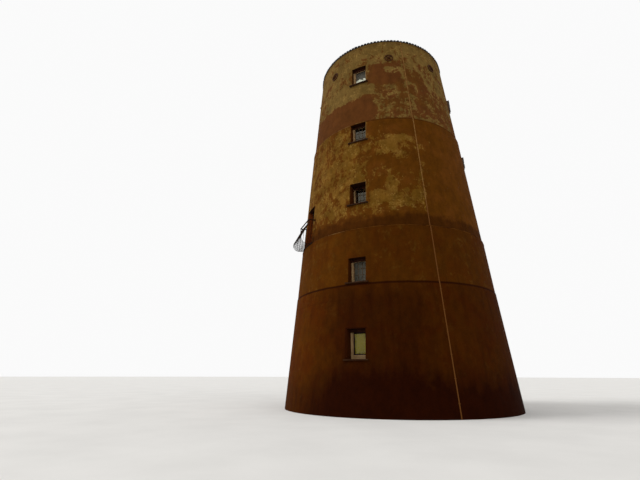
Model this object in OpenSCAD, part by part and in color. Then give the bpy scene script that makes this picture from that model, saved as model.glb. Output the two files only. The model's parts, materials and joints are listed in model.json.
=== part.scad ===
/* [Tower] */
// Outside radius at the ground
base_radius = 5887; // [5000:1:7000]
// Outside radius of the straight batter at the top
top_radius = 3882; // [3300:1:4600]
// Wall thickness at the ground
base_wall = 1000; // [700:10:1400]
// Wall thickness at the top
top_wall = 600; // [450:10:800]

/* [Storeys] */
// Height of the ground floor above the ground
ground_floor_level = 150; // [80:5:400]
// Height from the ground floor to the first floor
ground_storey_h = 4150; // [3700:10:4800]
// Height from the first floor to the second floor
first_storey_h = 3950; // [3500:10:4600]
// Height from the second floor to the third floor
second_storey_h = 3850; // [3400:10:4500]
// Height from the third floor to the fourth floor
third_storey_h = 3900; // [3400:10:4500]
// Height from the fourth floor to the roof's edge
fourth_storey_h = 3850; // [3400:10:4500]
// Height from the roof's edge to the top of the coping
parapet_h = 480; // [300:10:1100]
// Thickness of the upper floors
floor_thickness = 250; // [150:5:350]
// Thickness of the roof at its edge
roof_thickness = 250; // [150:5:350]
// Rise of the roof from its edge to its middle
roof_rise = 120; // [20:5:250]

/* [Render lifts] */
// How far the faint ledge lies below the first storey's window sill
base_ledge_drop = 38; // [20:1:300]
// How far the clear ledge under the balcony lies below the second floor
lower_ledge_drop = 50; // [0:5:300]
// Width of the faint ledge
base_ledge = 20; // [5:1:60]
// Width of the two clear ledges
lift_ledge = 50; // [10:1:90]

/* [Coping] */
// Thickness of the coping
coping_height = 90; // [50:5:200]
// How far the coping oversails the wall outside
coping_overhang = 45; // [10:1:100]
// How far the coping oversails the wall inside
coping_inner_lip = 30; // [0:1:100]
// Number of stones in the coping
coping_stones = 126; // [60:1:160]
// Width of the open joint between two stones at the coping's outer edge
coping_joint = 60; // [20:1:80]
// Depth of that joint
coping_joint_depth = 30; // [10:1:60]

/* [Windows] */
// Width of a window opening
window_w = 860; // [600:5:1100]
// Height of a window opening on the upper storeys
window_h = 1170; // [900:5:1400]
// Height of the fourth storey's window opening
top_window_h = 1240; // [1000:5:1400]
// Height of the ground storey's window opening
ground_window_h = 1265; // [900:5:1500]
// Height of the ground storey's sill above its floor
ground_sill_h = 2085; // [1200:5:2300]
// Height of the first storey's sill above its floor
first_sill_h = 1280; // [900:10:1800]
// Height of the second storey's sill above its floor
second_sill_h = 1330; // [900:10:1700]
// Height of the third storey's sill above its floor
third_sill_h = 1230; // [900:10:1700]
// Height of the fourth storey's sill above its floor
fourth_sill_h = 1370; // [900:10:1700]
// Depth from the wall's face to a window frame, at the top of the tower
top_reveal = 280; // [150:5:330]
// Depth from the wall's face to a window frame, at the ground
base_reveal = 500; // [300:5:650]
// Extra depth of the reveal at the second storey's windows
second_reveal_extra = 190; // [0:5:220]
// Extra width on each side of an opening at the wall's inner face
inner_splay = 140; // [0:5:250]
// Face width of a window frame
frame_w = 85; // [50:1:120]
// Depth of a window frame
frame_d = 110; // [85:1:160]
// Face width of a sash
sash_w = 45; // [30:1:60]
// Depth of a sash
sash_d = 45; // [30:1:60]
// Distance from a frame's face back to its sashes
sash_set_back = 30; // [5:1:40]
// Thickness of the glass
glass_t = 6; // [4:1:12]
// Thickness of a sill
sill_t = 55; // [40:1:80]
// How far a sill stands out from the wall
sill_nose = 80; // [40:1:140]
// How far a sill runs past the opening on each side
sill_ear = 120; // [40:1:200]

/* [Landing windows] */
// Angle of the landing windows round the tower, counted from the right side
landing_angle = 4; // [0:0.5:8]
// Width of a landing window
landing_w = 600; // [400:5:800]
// Height of the upper landing window
upper_landing_h = 540; // [400:5:900]
// Height of the lower landing window
lower_landing_h = 470; // [400:5:900]
// Height of the upper landing window's foot above the fourth floor
upper_landing_foot = 1050; // [600:10:1500]
// Height of the lower landing window's foot above the third floor
lower_landing_foot = 940; // [600:10:1500]
// How far a landing window's plumb box stands out from the wall at its middle
landing_proud = 75; // [60:1:140]
// Depth of a landing window's box
landing_d = 260; // [200:5:320]
// Face width of a landing window's box
landing_frame_w = 60; // [40:1:90]

/* [Balcony] */
// Angle of the balcony round the tower, counted from the right side
balcony_angle = -134; // [-140:0.5:-130]
// Width of the balcony doorway
balcony_door_w = 1150; // [900:5:1350]
// Height of the balcony doorway
balcony_door_h = 2220; // [2000:5:2500]
// Face width of the stiles of a balcony door leaf
leaf_stile = 80; // [50:1:110]
// Height of the solid panel at the foot of a leaf
leaf_kick = 520; // [200:5:800]
// Gap between the two leaves
leaf_gap = 4; // [2:1:8]
// Width of the balcony
balcony_w = 1600; // [1500:5:1900]
// How far the threshold reaches out from the wall
platform_reach = 45; // [30:5:220]
// How far the balusters' feet run out level from the wall before they turn up
foot_run = 275; // [220:5:340]
// How far the feet lie below the balcony's floor
foot_drop = 80; // [70:1:150]
// Radius of the balusters' pot belly
belly_radius = 290; // [200:5:320]
// Distance from the wall at floor level to the top rails
head_reach = 150; // [100:5:200]
// Height of the top rail above the balcony's floor
railing_h = 1300; // [1000:10:1400]
// Distance between the two top rails
rail_gap = 200; // [60:5:250]
// Side of a rail's bar
rail_t = 45; // [18:1:60]
// Diameter of a baluster
baluster_d = 22; // [12:1:26]
// Diameter of the collars at the ends of a baluster's belly
collar_d = 30; // [27:1:36]
// Height of a collar
collar_h = 22; // [14:1:40]
// Number of balusters along the front
baluster_count = 15; // [9:2:21]
// Diameter of the upright bars in an end panel
end_bar_d = 22; // [8:1:26]
// Number of upright bars in each end panel
end_bar_count = 3; // [2:1:3]
// Distance from the wall at floor level to the first of them, at its foot
end_bar_start = 88; // [60:1:120]
// Distance between two of them
end_bar_gap = 135; // [100:1:140]
// Side of a post between the two top rails
rail_post_t = 28; // [12:1:30]
// Number of posts between the two top rails
rail_post_count = 2; // [2:1:9]

/* [Entrance] */
// Width of the entrance doorway
entrance_w = 1000; // [900:5:1200]
// Height of the entrance doorway
entrance_h = 2050; // [1950:5:2300]
// Thickness of the entrance door
entrance_door_t = 50; // [40:1:70]

/* [Ironwork] */
// Height of the tie plates above the fourth storey's window head
tie_plate_rise = 290; // [200:10:600]
// Diameter of a tie plate
tie_plate_d = 500; // [300:5:520]
// Width of a tie plate's rim
tie_rim_w = 48; // [25:1:60]
// Thickness of a tie plate's rim
tie_rim_t = 35; // [25:1:50]
// Number of spokes in a tie plate
tie_spoke_count = 4; // [3:1:8]
// Width of a tie plate's spokes at the rim
tie_spoke_w = 40; // [20:1:50]
// Diameter of a tie plate's boss
tie_boss_d = 130; // [100:1:150]
// How far a tie plate's boss stands out
tie_boss_h = 75; // [60:1:130]
// Width across the nut on a tie rod's end
tie_nut_w = 70; // [40:1:90]
// Height of that nut
tie_nut_h = 35; // [20:1:60]
// Width of the lightning strip
conductor_w = 50; // [20:1:80]
// Thickness of the lightning strip
conductor_t = 8; // [3:1:20]
// Angle of the lightning strip's top round the tower, counted from the right side
conductor_angle = -53.5; // [-60:0.5:-45]
// Lean of the lightning strip as seen from in front of it
conductor_lean = 1.1; // [0:0.1:2]

/* [Hidden] */
// Facets of a full circle, as drawn on the screen
round_fn = 144;
// Facets of the wall's form where a fitting is cut to lie on it
seat_fn = 720;
// Facets of a tie plate's circles
plate_fn = 96;
// Facets of a baluster's bar
bar_fn = 16;
// Centres of the four wall segments round the tower
front_segment = -112.5;
right_segment = -22.5;
back_segment = 67.5;
left_segment = 157.5;
segment_sweep = 90;
// Window columns round the tower
front_column = -90;
back_column = 90;
// Tie rods cross the tower, so each gives two plates, one opposite the other
rod_angles = [-160, -115, -65, -25];
// Openings are cut this far past the wall's faces
cut_margin = 600;

// Levels above the ground
first_floor_level = ground_floor_level + ground_storey_h;
second_floor_level = first_floor_level + first_storey_h;
third_floor_level = second_floor_level + second_storey_h;
fourth_floor_level = third_floor_level + third_storey_h;
roof_edge_top = fourth_floor_level + fourth_storey_h;
tower_height = roof_edge_top + parapet_h;
wall_top = tower_height - coping_height;
ground_window_z = ground_floor_level + ground_sill_h;
first_window_z = first_floor_level + first_sill_h;
second_window_z = second_floor_level + second_sill_h;
third_window_z = third_floor_level + third_sill_h;
fourth_window_z = fourth_floor_level + fourth_sill_h;
tie_plate_z = fourth_window_z + top_window_h + tie_plate_rise;
base_lift_top = first_window_z - sill_t - base_ledge_drop;
lower_lift_top = second_floor_level - lower_ledge_drop;
middle_lift_top = third_window_z + window_h;
batter_angle = atan((base_radius - top_radius) / tower_height);
window_levels = [
    [ground_window_z, ground_window_h],
    [first_window_z, window_h],
    [second_window_z, window_h],
    [third_window_z, window_h],
    [fourth_window_z, top_window_h]
];
landing_levels = [
    [fourth_floor_level + upper_landing_foot, upper_landing_h],
    [third_floor_level + lower_landing_foot, lower_landing_h]
];

// Radius of the straight batter at a height
function batter_r(z) = base_radius - (base_radius - top_radius) * z / tower_height;
// Radius of the wall's inner face at a height
function inner_r(z) = batter_r(z) - base_wall + (base_wall - top_wall) * z / tower_height;
// Depth of a window's reveal at a height
function reveal_at(z) = base_reveal - (base_reveal - top_reveal) * z / tower_height;
// Distance from the axis to a frame's outer face, for an opening that starts at z and is h high
function frame_face(z, h) = batter_r(z + h / 2) - reveal_at(z + h / 2)
    - (z == second_window_z ? second_reveal_extra : 0);

// A render lift's face stands back from the straight batter at its foot and forward at its head,
// which makes the ledges. The middle lift is built in two rings, which meet at the third floor
ring_out = lift_ledge * ((third_floor_level - lower_lift_top) / (middle_lift_top - lower_lift_top) - 0.5);
// Section of one ring of wall, from its foot to its head
module ring_section(foot_z, head_z, foot_out, head_out) {
    polygon([
        [inner_r(foot_z), foot_z],
        [batter_r(foot_z) + foot_out, foot_z],
        [batter_r(head_z) + head_out, head_z],
        [inner_r(head_z), head_z]
    ]);
}
// One curved segment of a ring, with every opening cut through it
module wall_segment(centre, foot_z, head_z, foot_out, head_out) {
    difference() {
        rotate([0, 0, centre - segment_sweep / 2])
            rotate_extrude(angle = segment_sweep, $fn = round_fn)
                ring_section(foot_z, head_z, foot_out, head_out);
        openings();
    }
}
module base_segment(centre)
    wall_segment(centre, 0, base_lift_top, 0, base_ledge / 2);
module lower_segment(centre)
    wall_segment(centre, base_lift_top, lower_lift_top, -base_ledge / 2, lift_ledge / 2);
module second_segment(centre)
    wall_segment(centre, lower_lift_top, third_floor_level, -lift_ledge / 2, ring_out);
module third_segment(centre)
    wall_segment(centre, third_floor_level, middle_lift_top, ring_out, lift_ledge / 2);
module upper_segment(centre)
    wall_segment(centre, middle_lift_top, wall_top, -lift_ledge / 2, 0);

// The tower's outer form as one mass, which fittings on its face are cut against
module lift_mass(foot_z, head_z, foot_out, head_out) {
    translate([0, 0, foot_z])
        cylinder(h = head_z - foot_z, r1 = batter_r(foot_z) + foot_out,
            r2 = batter_r(head_z) + head_out, $fn = seat_fn);
}
module tower_mass() {
    lift_mass(0, base_lift_top, 0, base_ledge / 2);
    lift_mass(base_lift_top, lower_lift_top, -base_ledge / 2, lift_ledge / 2);
    lift_mass(lower_lift_top, middle_lift_top, -lift_ledge / 2, lift_ledge / 2);
    lift_mass(middle_lift_top, wall_top, -lift_ledge / 2, 0);
}

// Every opening in the wall
module openings() {
    for (level = window_levels) {
        rotate([0, 0, front_column]) window_opening(level[0], level[1]);
    }
    for (i = [1:4]) {
        rotate([0, 0, back_column]) window_opening(window_levels[i][0], window_levels[i][1]);
    }
    for (level = landing_levels) {
        rotate([0, 0, landing_angle]) plain_opening(landing_w, level[0], level[1]);
    }
    rotate([0, 0, balcony_angle]) plain_opening(balcony_door_w, second_floor_level, balcony_door_h);
    rotate([0, 0, back_column]) plain_opening(entrance_w, ground_floor_level, entrance_h);
}

// A window's opening: square jambs outside the frame, splayed jambs inside, and the sill's bed
module window_opening(z, h) {
    face = frame_face(z, h);
    splay_end = inner_r(z + h) - cut_margin;
    translate([0, 0, z])
        linear_extrude(height = h)
            polygon([
                [batter_r(z) + cut_margin, -window_w / 2],
                [batter_r(z) + cut_margin, window_w / 2],
                [face - frame_d, window_w / 2],
                [splay_end, window_w / 2 + inner_splay],
                [splay_end, -window_w / 2 - inner_splay],
                [face - frame_d, -window_w / 2]
            ]);
    translate([face - frame_d, -window_w / 2, z - sill_t])
        cube([batter_r(z) + cut_margin - face + frame_d, window_w, 2 * sill_t]);
}
module plain_opening(w, z, h) {
    depth = batter_r(z) + cut_margin - (inner_r(z + h) - cut_margin);
    translate([inner_r(z + h) - cut_margin, -w / 2, z])
        cube([depth, w, h]);
}

// A flat ring standing upright across the radius, with its outer face at a distance from the axis
module upright_ring(face, depth, w, z, h, border) {
    translate([face - depth, 0, z])
        difference() {
            translate([0, -w / 2, 0])
                cube([depth, w, h]);
            translate([-1, -w / 2 + border, border])
                cube([depth + 2, w - 2 * border, h - 2 * border]);
        }
}
// The same without a bottom rail, for a doorway
module upright_arch(face, depth, w, z, h, border) {
    translate([face - depth, 0, z])
        difference() {
            translate([0, -w / 2, 0])
                cube([depth, w, h]);
            translate([-1, -w / 2 + border, -1])
                cube([depth + 2, w - 2 * border, h - border + 1]);
        }
}
// A sheet of glass in an upright ring
module upright_pane(face, w, z, h) {
    translate([face - glass_t, -w / 2, z])
        cube([glass_t, w, h]);
}

module each_window() {
    for (level = window_levels) {
        $sill = level[0];
        $head = level[1];
        rotate([0, 0, front_column]) children();
    }
    for (i = [1:4]) {
        $sill = window_levels[i][0];
        $head = window_levels[i][1];
        rotate([0, 0, back_column]) children();
    }
}

module window_frames() {
    color("oldlace")
        each_window()
            upright_ring(frame_face($sill, $head), frame_d, window_w, $sill, $head, frame_w);
}
module window_sashes() {
    color("ivory")
        each_window()
            upright_ring(frame_face($sill, $head) - sash_set_back, sash_d, window_w - 2 * frame_w,
                $sill + frame_w, $head - 2 * frame_w, sash_w);
}
module window_panes() {
    border = frame_w + sash_w;
    color("lightsteelblue")
        each_window()
            upright_pane(frame_face($sill, $head) - sash_set_back - (sash_d - glass_t) / 2,
                window_w - 2 * border, $sill + border, $head - 2 * border);
}
module window_sills() {
    color("dimgray")
        each_window()
            sill(frame_face($sill, $head) - frame_d, $sill);
}
// A sill: a tongue in the opening and a wider nose in front of the wall's face
module sill(back, z) {
    nose = batter_r(z) + sill_nose;
    translate([back, -window_w / 2, z - sill_t])
        cube([nose - back, window_w, sill_t]);
    difference() {
        translate([back, -window_w / 2 - sill_ear, z - sill_t])
            cube([nose - back, window_w + 2 * sill_ear, sill_t]);
        tower_mass();
    }
}

module landing_frames() {
    color("silver")
        rotate([0, 0, landing_angle])
            for (level = landing_levels)
                upright_ring(batter_r(level[0] + level[1] / 2) + landing_proud, landing_d, landing_w,
                    level[0], level[1], landing_frame_w);
}
module landing_panes() {
    color("lightsteelblue")
        rotate([0, 0, landing_angle])
            for (level = landing_levels)
                upright_pane(batter_r(level[0] + level[1] / 2) + landing_proud - landing_d / 2,
                    landing_w - 2 * landing_frame_w, level[0] + landing_frame_w,
                    level[1] - 2 * landing_frame_w);
}

// A storey's floor, cut to the wall's inner batter
module storey_floor(top, thickness) {
    translate([0, 0, top - thickness])
        cylinder(h = thickness, r1 = inner_r(top - thickness), r2 = inner_r(top), $fn = round_fn);
}
module ground_floor() color("gray") storey_floor(ground_floor_level, ground_floor_level);
module first_floor() color("burlywood") storey_floor(first_floor_level, floor_thickness);
module second_floor() color("burlywood") storey_floor(second_floor_level, floor_thickness);
module third_floor() color("burlywood") storey_floor(third_floor_level, floor_thickness);
module fourth_floor() color("burlywood") storey_floor(fourth_floor_level, floor_thickness);
module roof_deck() {
    bottom = roof_edge_top - roof_thickness;
    color("slategray")
        rotate_extrude($fn = round_fn)
            polygon([
                [0, bottom],
                [inner_r(bottom), bottom],
                [inner_r(roof_edge_top), roof_edge_top],
                [0, roof_edge_top + roof_rise]
            ]);
}

// Coping: a ring of straight-edged stones, with an open joint between two at the outer edge
coping_r = batter_r(wall_top) + coping_overhang;
stone_step = 360 / coping_stones;
joint_sweep = asin(coping_joint / coping_r);
function on_circle(r, angle) = [r * cos(angle), r * sin(angle)];
function coping_edge() = [
    for (i = [0:coping_stones - 1])
        for (corner = [
            [coping_r, joint_sweep / 2],
            [coping_r, stone_step - joint_sweep / 2],
            [coping_r - coping_joint_depth, stone_step - joint_sweep / 2],
            [coping_r - coping_joint_depth, stone_step + joint_sweep / 2]
        ])
            on_circle(corner[0], i * stone_step + corner[1])
];
module coping() {
    color("darkslategray")
        translate([0, 0, wall_top])
            difference() {
                linear_extrude(height = coping_height)
                    polygon(coping_edge());
                translate([0, 0, -1])
                    cylinder(h = coping_height + 2, r = inner_r(wall_top) - coping_inner_lip, $fn = seat_fn);
            }
}

// Balcony, placed from the wall's face at the floor's level
balcony_wall = batter_r(second_floor_level);
balcony_face = frame_face(second_floor_level, balcony_door_h);
leaf_w = (balcony_door_w - 2 * frame_w - leaf_gap) / 2;
leaf_h = balcony_door_h - frame_w;
module balcony_frame() {
    color("dimgray")
        rotate([0, 0, balcony_angle])
            upright_arch(balcony_face, frame_d, balcony_door_w, second_floor_level, balcony_door_h, frame_w);
}
// Where a leaf starts, on one side of the doorway's middle or the other
function leaf_start(side) = side < 0 ? -leaf_gap / 2 - leaf_w : leaf_gap / 2;
module leaf(side) {
    translate([balcony_face - sash_set_back - sash_d, leaf_start(side), second_floor_level])
        difference() {
            cube([sash_d, leaf_w, leaf_h]);
            translate([-1, leaf_stile, leaf_kick])
                cube([sash_d + 2, leaf_w - 2 * leaf_stile, leaf_h - leaf_kick - leaf_stile]);
        }
}
module balcony_doors() {
    color("dimgray")
        rotate([0, 0, balcony_angle])
            for (side = [-1, 1])
                leaf(side);
}
module balcony_panes() {
    color("lightsteelblue")
        rotate([0, 0, balcony_angle])
            for (side = [-1, 1])
                translate([balcony_face - sash_set_back - (sash_d + glass_t) / 2,
                    leaf_start(side) + leaf_stile, second_floor_level + leaf_kick])
                    cube([glass_t, leaf_w - 2 * leaf_stile, leaf_h - leaf_kick - leaf_stile]);
}
// Takes the tower's mass off what a balcony part has inside the wall, and turns it to its place
module on_balcony() {
    difference() {
        rotate([0, 0, balcony_angle])
            children();
        tower_mass();
    }
}
// The levels of the feet, of the second rail's underside and of the rails' tops
foot_z = second_floor_level - foot_drop;
rail_top = second_floor_level + railing_h;
second_rail_top = rail_top - rail_gap;
head_z = second_rail_top - rail_t;
head_x = balcony_wall + head_reach;
// Rails and bars start this far inside the wall's face, before the wall is taken off
wall_bite = 300;
// The door's threshold, a narrow shelf that follows the wall's curve and rests on the balusters' feet
module balcony_platform() {
    shelf_z = foot_z + baluster_d / 2;
    shelf_t = second_floor_level - shelf_z;
    color("dimgray")
        on_balcony()
            intersection() {
                translate([balcony_wall - wall_bite, -balcony_w / 2, shelf_z])
                    cube([wall_bite + platform_reach, balcony_w, shelf_t]);
                translate([0, 0, shelf_z])
                    cylinder(h = shelf_t, r = balcony_wall + platform_reach, $fn = round_fn);
            }
}

// A baluster leaves the wall level, turns up in a wide arc, the belly, and runs on without a kink
// into a straight bar that leans back to the second rail
belly_x = balcony_wall + foot_run;
belly_z = foot_z + belly_radius;
to_head_x = head_x - belly_x;
to_head_z = head_z - belly_z;
to_head = sqrt(to_head_x * to_head_x + to_head_z * to_head_z);
belly_turn = atan2(to_head_z, to_head_x) - acos(belly_radius / to_head);
upper_bar = sqrt(to_head * to_head - belly_radius * belly_radius);
tip_x = belly_x + belly_radius * cos(belly_turn);
tip_z = belly_z + belly_radius * sin(belly_turn);
module round_bar(length, d) {
    cylinder(h = length, d = d, $fn = bar_fn);
}
module collar() {
    translate([0, 0, -collar_h / 2])
        cylinder(h = collar_h, d = collar_d, $fn = 24);
}
module belly_bar() {
    translate([balcony_wall - wall_bite, 0, foot_z])
        rotate([0, 90, 0])
            round_bar(wall_bite + foot_run, baluster_d);
    translate([belly_x, 0, foot_z])
        rotate([0, 90, 0])
            collar();
    translate([belly_x, 0, belly_z])
        rotate([90, 0, 0]) {
            rotate([0, 0, -90])
                rotate_extrude(angle = 90 + belly_turn, $fn = 64)
                    translate([belly_radius, 0])
                        circle(d = baluster_d, $fn = bar_fn);
            rotate([0, 0, belly_turn])
                translate([belly_radius, 0, 0])
                    rotate([-90, 0, 0]) {
                        round_bar(upper_bar + baluster_d, baluster_d);
                        collar();
                    }
        }
}
// Foot of an upright bar in an end panel, at a distance from the tower's axis
function panel_foot(x) = x < belly_x ? foot_z : belly_z - sqrt(pow(belly_radius, 2) - pow(x - belly_x, 2));
// Height at which such a bar meets the end baluster, which leans back further than the bar does
upper_lean = (tip_x - head_x) / (head_z - tip_z);
function meeting(x) = (tip_x + upper_lean * tip_z - x - tan(batter_angle) * panel_foot(x))
    / (upper_lean - tan(batter_angle));
// The bars lean with the wall and end at the return under the top rail, or at the end baluster
module end_panel() {
    for (i = [0:end_bar_count - 1]) {
        x = balcony_wall + end_bar_start + i * end_bar_gap;
        rise = min(rail_top - rail_t / 2, meeting(x) > head_z ? rail_top : meeting(x)) - panel_foot(x);
        translate([x, 0, panel_foot(x)])
            rotate([0, -batter_angle, 0])
                round_bar(rise / cos(batter_angle), end_bar_d);
    }
}
module balcony_balusters() {
    span = balcony_w - rail_t;
    color("black")
        on_balcony() {
            difference() {
                for (i = [0:baluster_count - 1])
                    translate([0, -span / 2 + i * span / (baluster_count - 1), 0])
                        belly_bar();
                translate([balcony_wall - wall_bite, -balcony_w, head_z])
                    cube([2 * wall_bite, 2 * balcony_w, railing_h]);
            }
            difference() {
                for (side = [-1, 1])
                    translate([0, side * span / 2, 0])
                        end_panel();
                translate([balcony_wall - wall_bite, -balcony_w, rail_top - rail_t])
                    cube([2 * wall_bite, 2 * balcony_w, railing_h]);
            }
        }
}
// The top rail runs along the front and back to the wall at both ends. The second rail runs along
// the front alone and hangs from it on short posts
module balcony_rails() {
    post_span = balcony_w - rail_t;
    color("black")
        on_balcony() {
            for (side = [-1, 1])
                translate([balcony_wall - wall_bite, side * post_span / 2 - rail_t / 2, rail_top - rail_t])
                    cube([wall_bite + head_reach, rail_t, rail_t]);
            for (top = [second_rail_top, rail_top])
                translate([head_x - rail_t / 2, -balcony_w / 2, top - rail_t])
                    cube([rail_t, balcony_w, rail_t]);
            for (i = [0:rail_post_count - 1])
                translate([head_x - rail_post_t / 2,
                    -post_span / 2 + i * post_span / (rail_post_count - 1) - rail_post_t / 2, second_rail_top])
                    cube([rail_post_t, rail_post_t, rail_gap - rail_t]);
        }
}

// Entrance
entrance_face = frame_face(ground_floor_level, entrance_h);
module entrance_frame() {
    color("saddlebrown")
        rotate([0, 0, back_column])
            upright_arch(entrance_face, frame_d, entrance_w, ground_floor_level, entrance_h, frame_w);
}
module entrance_door() {
    color("sienna")
        rotate([0, 0, back_column])
            translate([entrance_face - sash_set_back - entrance_door_t, -entrance_w / 2 + frame_w,
                ground_floor_level])
                cube([entrance_door_t, entrance_w - 2 * frame_w, entrance_h - frame_w]);
}

// A round tie plate: a rim, spokes that rise from it to a boss, and the nut on the rod's end
module tie_plate() {
    rim_inner_r = tie_plate_d / 2 - tie_rim_w;
    difference() {
        translate([0, 0, -tie_rim_t])
            cylinder(h = 2 * tie_rim_t, d = tie_plate_d, $fn = plate_fn);
        translate([0, 0, -2 * tie_rim_t])
            cylinder(h = 4 * tie_rim_t, r = rim_inner_r, $fn = plate_fn);
    }
    translate([0, 0, -tie_rim_t])
        cylinder(h = tie_rim_t + tie_boss_h, d = tie_boss_d, $fn = plate_fn);
    translate([-tie_nut_w / 2, -tie_nut_w / 2, tie_boss_h])
        cube([tie_nut_w, tie_nut_w, tie_nut_h]);
    for (i = [0:tie_spoke_count - 1])
        rotate([90, 0, 45 + 360 * i / tie_spoke_count])
            translate([0, 0, -tie_spoke_w / 2])
                linear_extrude(height = tie_spoke_w)
                    polygon([
                        [0, -tie_rim_t],
                        [rim_inner_r + tie_rim_w / 2, -tie_rim_t],
                        [rim_inner_r + tie_rim_w / 2, tie_rim_t / 2],
                        [rim_inner_r, tie_rim_t / 2],
                        [tie_boss_d / 2, tie_boss_h * 0.8],
                        [0, tie_boss_h * 0.8]
                    ]);
}
module tie_plates() {
    color("saddlebrown")
        difference() {
            for (rod = rod_angles)
                for (end = [0, 180])
                    rotate([0, 0, rod + end])
                        translate([batter_r(tie_plate_z), 0, tie_plate_z])
                            rotate([0, 90 - batter_angle, 0])
                                tie_plate();
            tower_mass();
        }
}

// A thin strip that follows the wall over its ledges, from the coping to the ground, and leans a little
module conductor() {
    half_sweep = 10;
    color("tan")
        intersection() {
            rotate([0, 0, conductor_angle - half_sweep])
                rotate_extrude(angle = 2 * half_sweep, $fn = seat_fn)
                    difference() {
                        polygon(wall_line(conductor_t));
                        polygon(wall_line(0));
                    }
            rotate([0, 0, conductor_angle])
                translate([0, 0, wall_top])
                    rotate([conductor_lean, 0, 0])
                        translate([0, -conductor_w / 2, -wall_top - cut_margin])
                            cube([2 * base_radius, conductor_w, wall_top + 2 * cut_margin]);
        }
}
// The wall's outer line in section, moved outwards by a distance
function wall_line(out) = [
    [0, 0],
    [batter_r(0) + out, 0],
    [batter_r(base_lift_top) + base_ledge / 2 + out, base_lift_top + out],
    [batter_r(base_lift_top) - base_ledge / 2 + out, base_lift_top + out],
    [batter_r(lower_lift_top) + lift_ledge / 2 + out, lower_lift_top + out],
    [batter_r(lower_lift_top) - lift_ledge / 2 + out, lower_lift_top + out],
    [batter_r(middle_lift_top) + lift_ledge / 2 + out, middle_lift_top + out],
    [batter_r(middle_lift_top) - lift_ledge / 2 + out, middle_lift_top + out],
    [batter_r(wall_top) + out, wall_top],
    [0, wall_top]
];

module base_wall_front() color("saddlebrown") base_segment(front_segment);
module base_wall_right() color("saddlebrown") base_segment(right_segment);
module base_wall_back() color("saddlebrown") base_segment(back_segment);
module base_wall_left() color("saddlebrown") base_segment(left_segment);
module lower_wall_front() color("sienna") lower_segment(front_segment);
module lower_wall_right() color("sienna") lower_segment(right_segment);
module lower_wall_back() color("sienna") lower_segment(back_segment);
module lower_wall_left() color("sienna") lower_segment(left_segment);
module second_wall_front() color("peru") second_segment(front_segment);
module second_wall_right() color("peru") second_segment(right_segment);
module second_wall_back() color("peru") second_segment(back_segment);
module second_wall_left() color("peru") second_segment(left_segment);
module third_wall_front() color("peru") third_segment(front_segment);
module third_wall_right() color("peru") third_segment(right_segment);
module third_wall_back() color("peru") third_segment(back_segment);
module third_wall_left() color("peru") third_segment(left_segment);
module upper_wall_front() color("tan") upper_segment(front_segment);
module upper_wall_right() color("tan") upper_segment(right_segment);
module upper_wall_back() color("tan") upper_segment(back_segment);
module upper_wall_left() color("tan") upper_segment(left_segment);

base_wall_front();
base_wall_right();
base_wall_back();
base_wall_left();
lower_wall_front();
lower_wall_right();
lower_wall_back();
lower_wall_left();
second_wall_front();
second_wall_right();
second_wall_back();
second_wall_left();
third_wall_front();
third_wall_right();
third_wall_back();
third_wall_left();
upper_wall_front();
upper_wall_right();
upper_wall_back();
upper_wall_left();
coping();
ground_floor();
first_floor();
second_floor();
third_floor();
fourth_floor();
roof_deck();
window_frames();
window_sashes();
window_panes();
window_sills();
landing_frames();
landing_panes();
balcony_frame();
balcony_doors();
balcony_panes();
balcony_platform();
balcony_rails();
balcony_balusters();
entrance_frame();
entrance_door();
tie_plates();
conductor();
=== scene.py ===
"""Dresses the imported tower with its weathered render, joinery, ironwork and stone.

The tower stands on the origin with +Z up, its front column of windows faces -Y and lengths are in metres.
"""

import json
import logging
import math
import random
from dataclasses import dataclass, field
from enum import Enum
from typing import ClassVar, Iterable, Sequence

import bmesh
import bpy
from mathutils import Matrix, Vector, noise


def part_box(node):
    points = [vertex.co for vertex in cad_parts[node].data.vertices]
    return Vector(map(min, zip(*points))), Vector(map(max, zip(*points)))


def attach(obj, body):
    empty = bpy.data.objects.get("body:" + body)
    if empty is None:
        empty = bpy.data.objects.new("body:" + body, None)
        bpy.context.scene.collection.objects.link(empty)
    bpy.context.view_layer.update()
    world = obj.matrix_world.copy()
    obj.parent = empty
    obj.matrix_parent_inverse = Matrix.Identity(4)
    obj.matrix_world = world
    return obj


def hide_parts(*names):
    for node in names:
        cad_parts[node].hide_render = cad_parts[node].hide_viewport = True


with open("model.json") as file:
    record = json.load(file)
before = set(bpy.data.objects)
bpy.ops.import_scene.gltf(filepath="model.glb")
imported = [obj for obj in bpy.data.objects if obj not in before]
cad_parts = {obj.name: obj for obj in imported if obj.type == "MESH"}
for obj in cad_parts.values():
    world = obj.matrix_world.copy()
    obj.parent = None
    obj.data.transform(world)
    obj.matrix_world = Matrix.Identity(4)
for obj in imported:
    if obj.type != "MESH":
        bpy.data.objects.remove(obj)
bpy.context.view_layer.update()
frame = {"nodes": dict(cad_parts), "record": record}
LOG = logging.getLogger("tower")
Colour = tuple[float, float, float, float]
Ramp = tuple[float, ...]
Span = tuple[float, float]
Section = Sequence[tuple[float, float]]
EVEN = (1.0, 1.0, 1.0)


def tone(red: int, green: int, blue: int) -> Colour:
    """Turns a colour as seen on a screen into the linear colour that a shader takes.

    Args:
        red: Screen red, 0 to 255.
        green: Screen green, 0 to 255.
        blue: Screen blue, 0 to 255.

    Returns:
        The linear colour with full alpha.
    """
    linear = [((part / 255 + 0.055) / 1.055) ** 2.4 if part > 10 else part / 255 / 12.92
              for part in (red, green, blue)]
    return (linear[0], linear[1], linear[2], 1.0)


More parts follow.
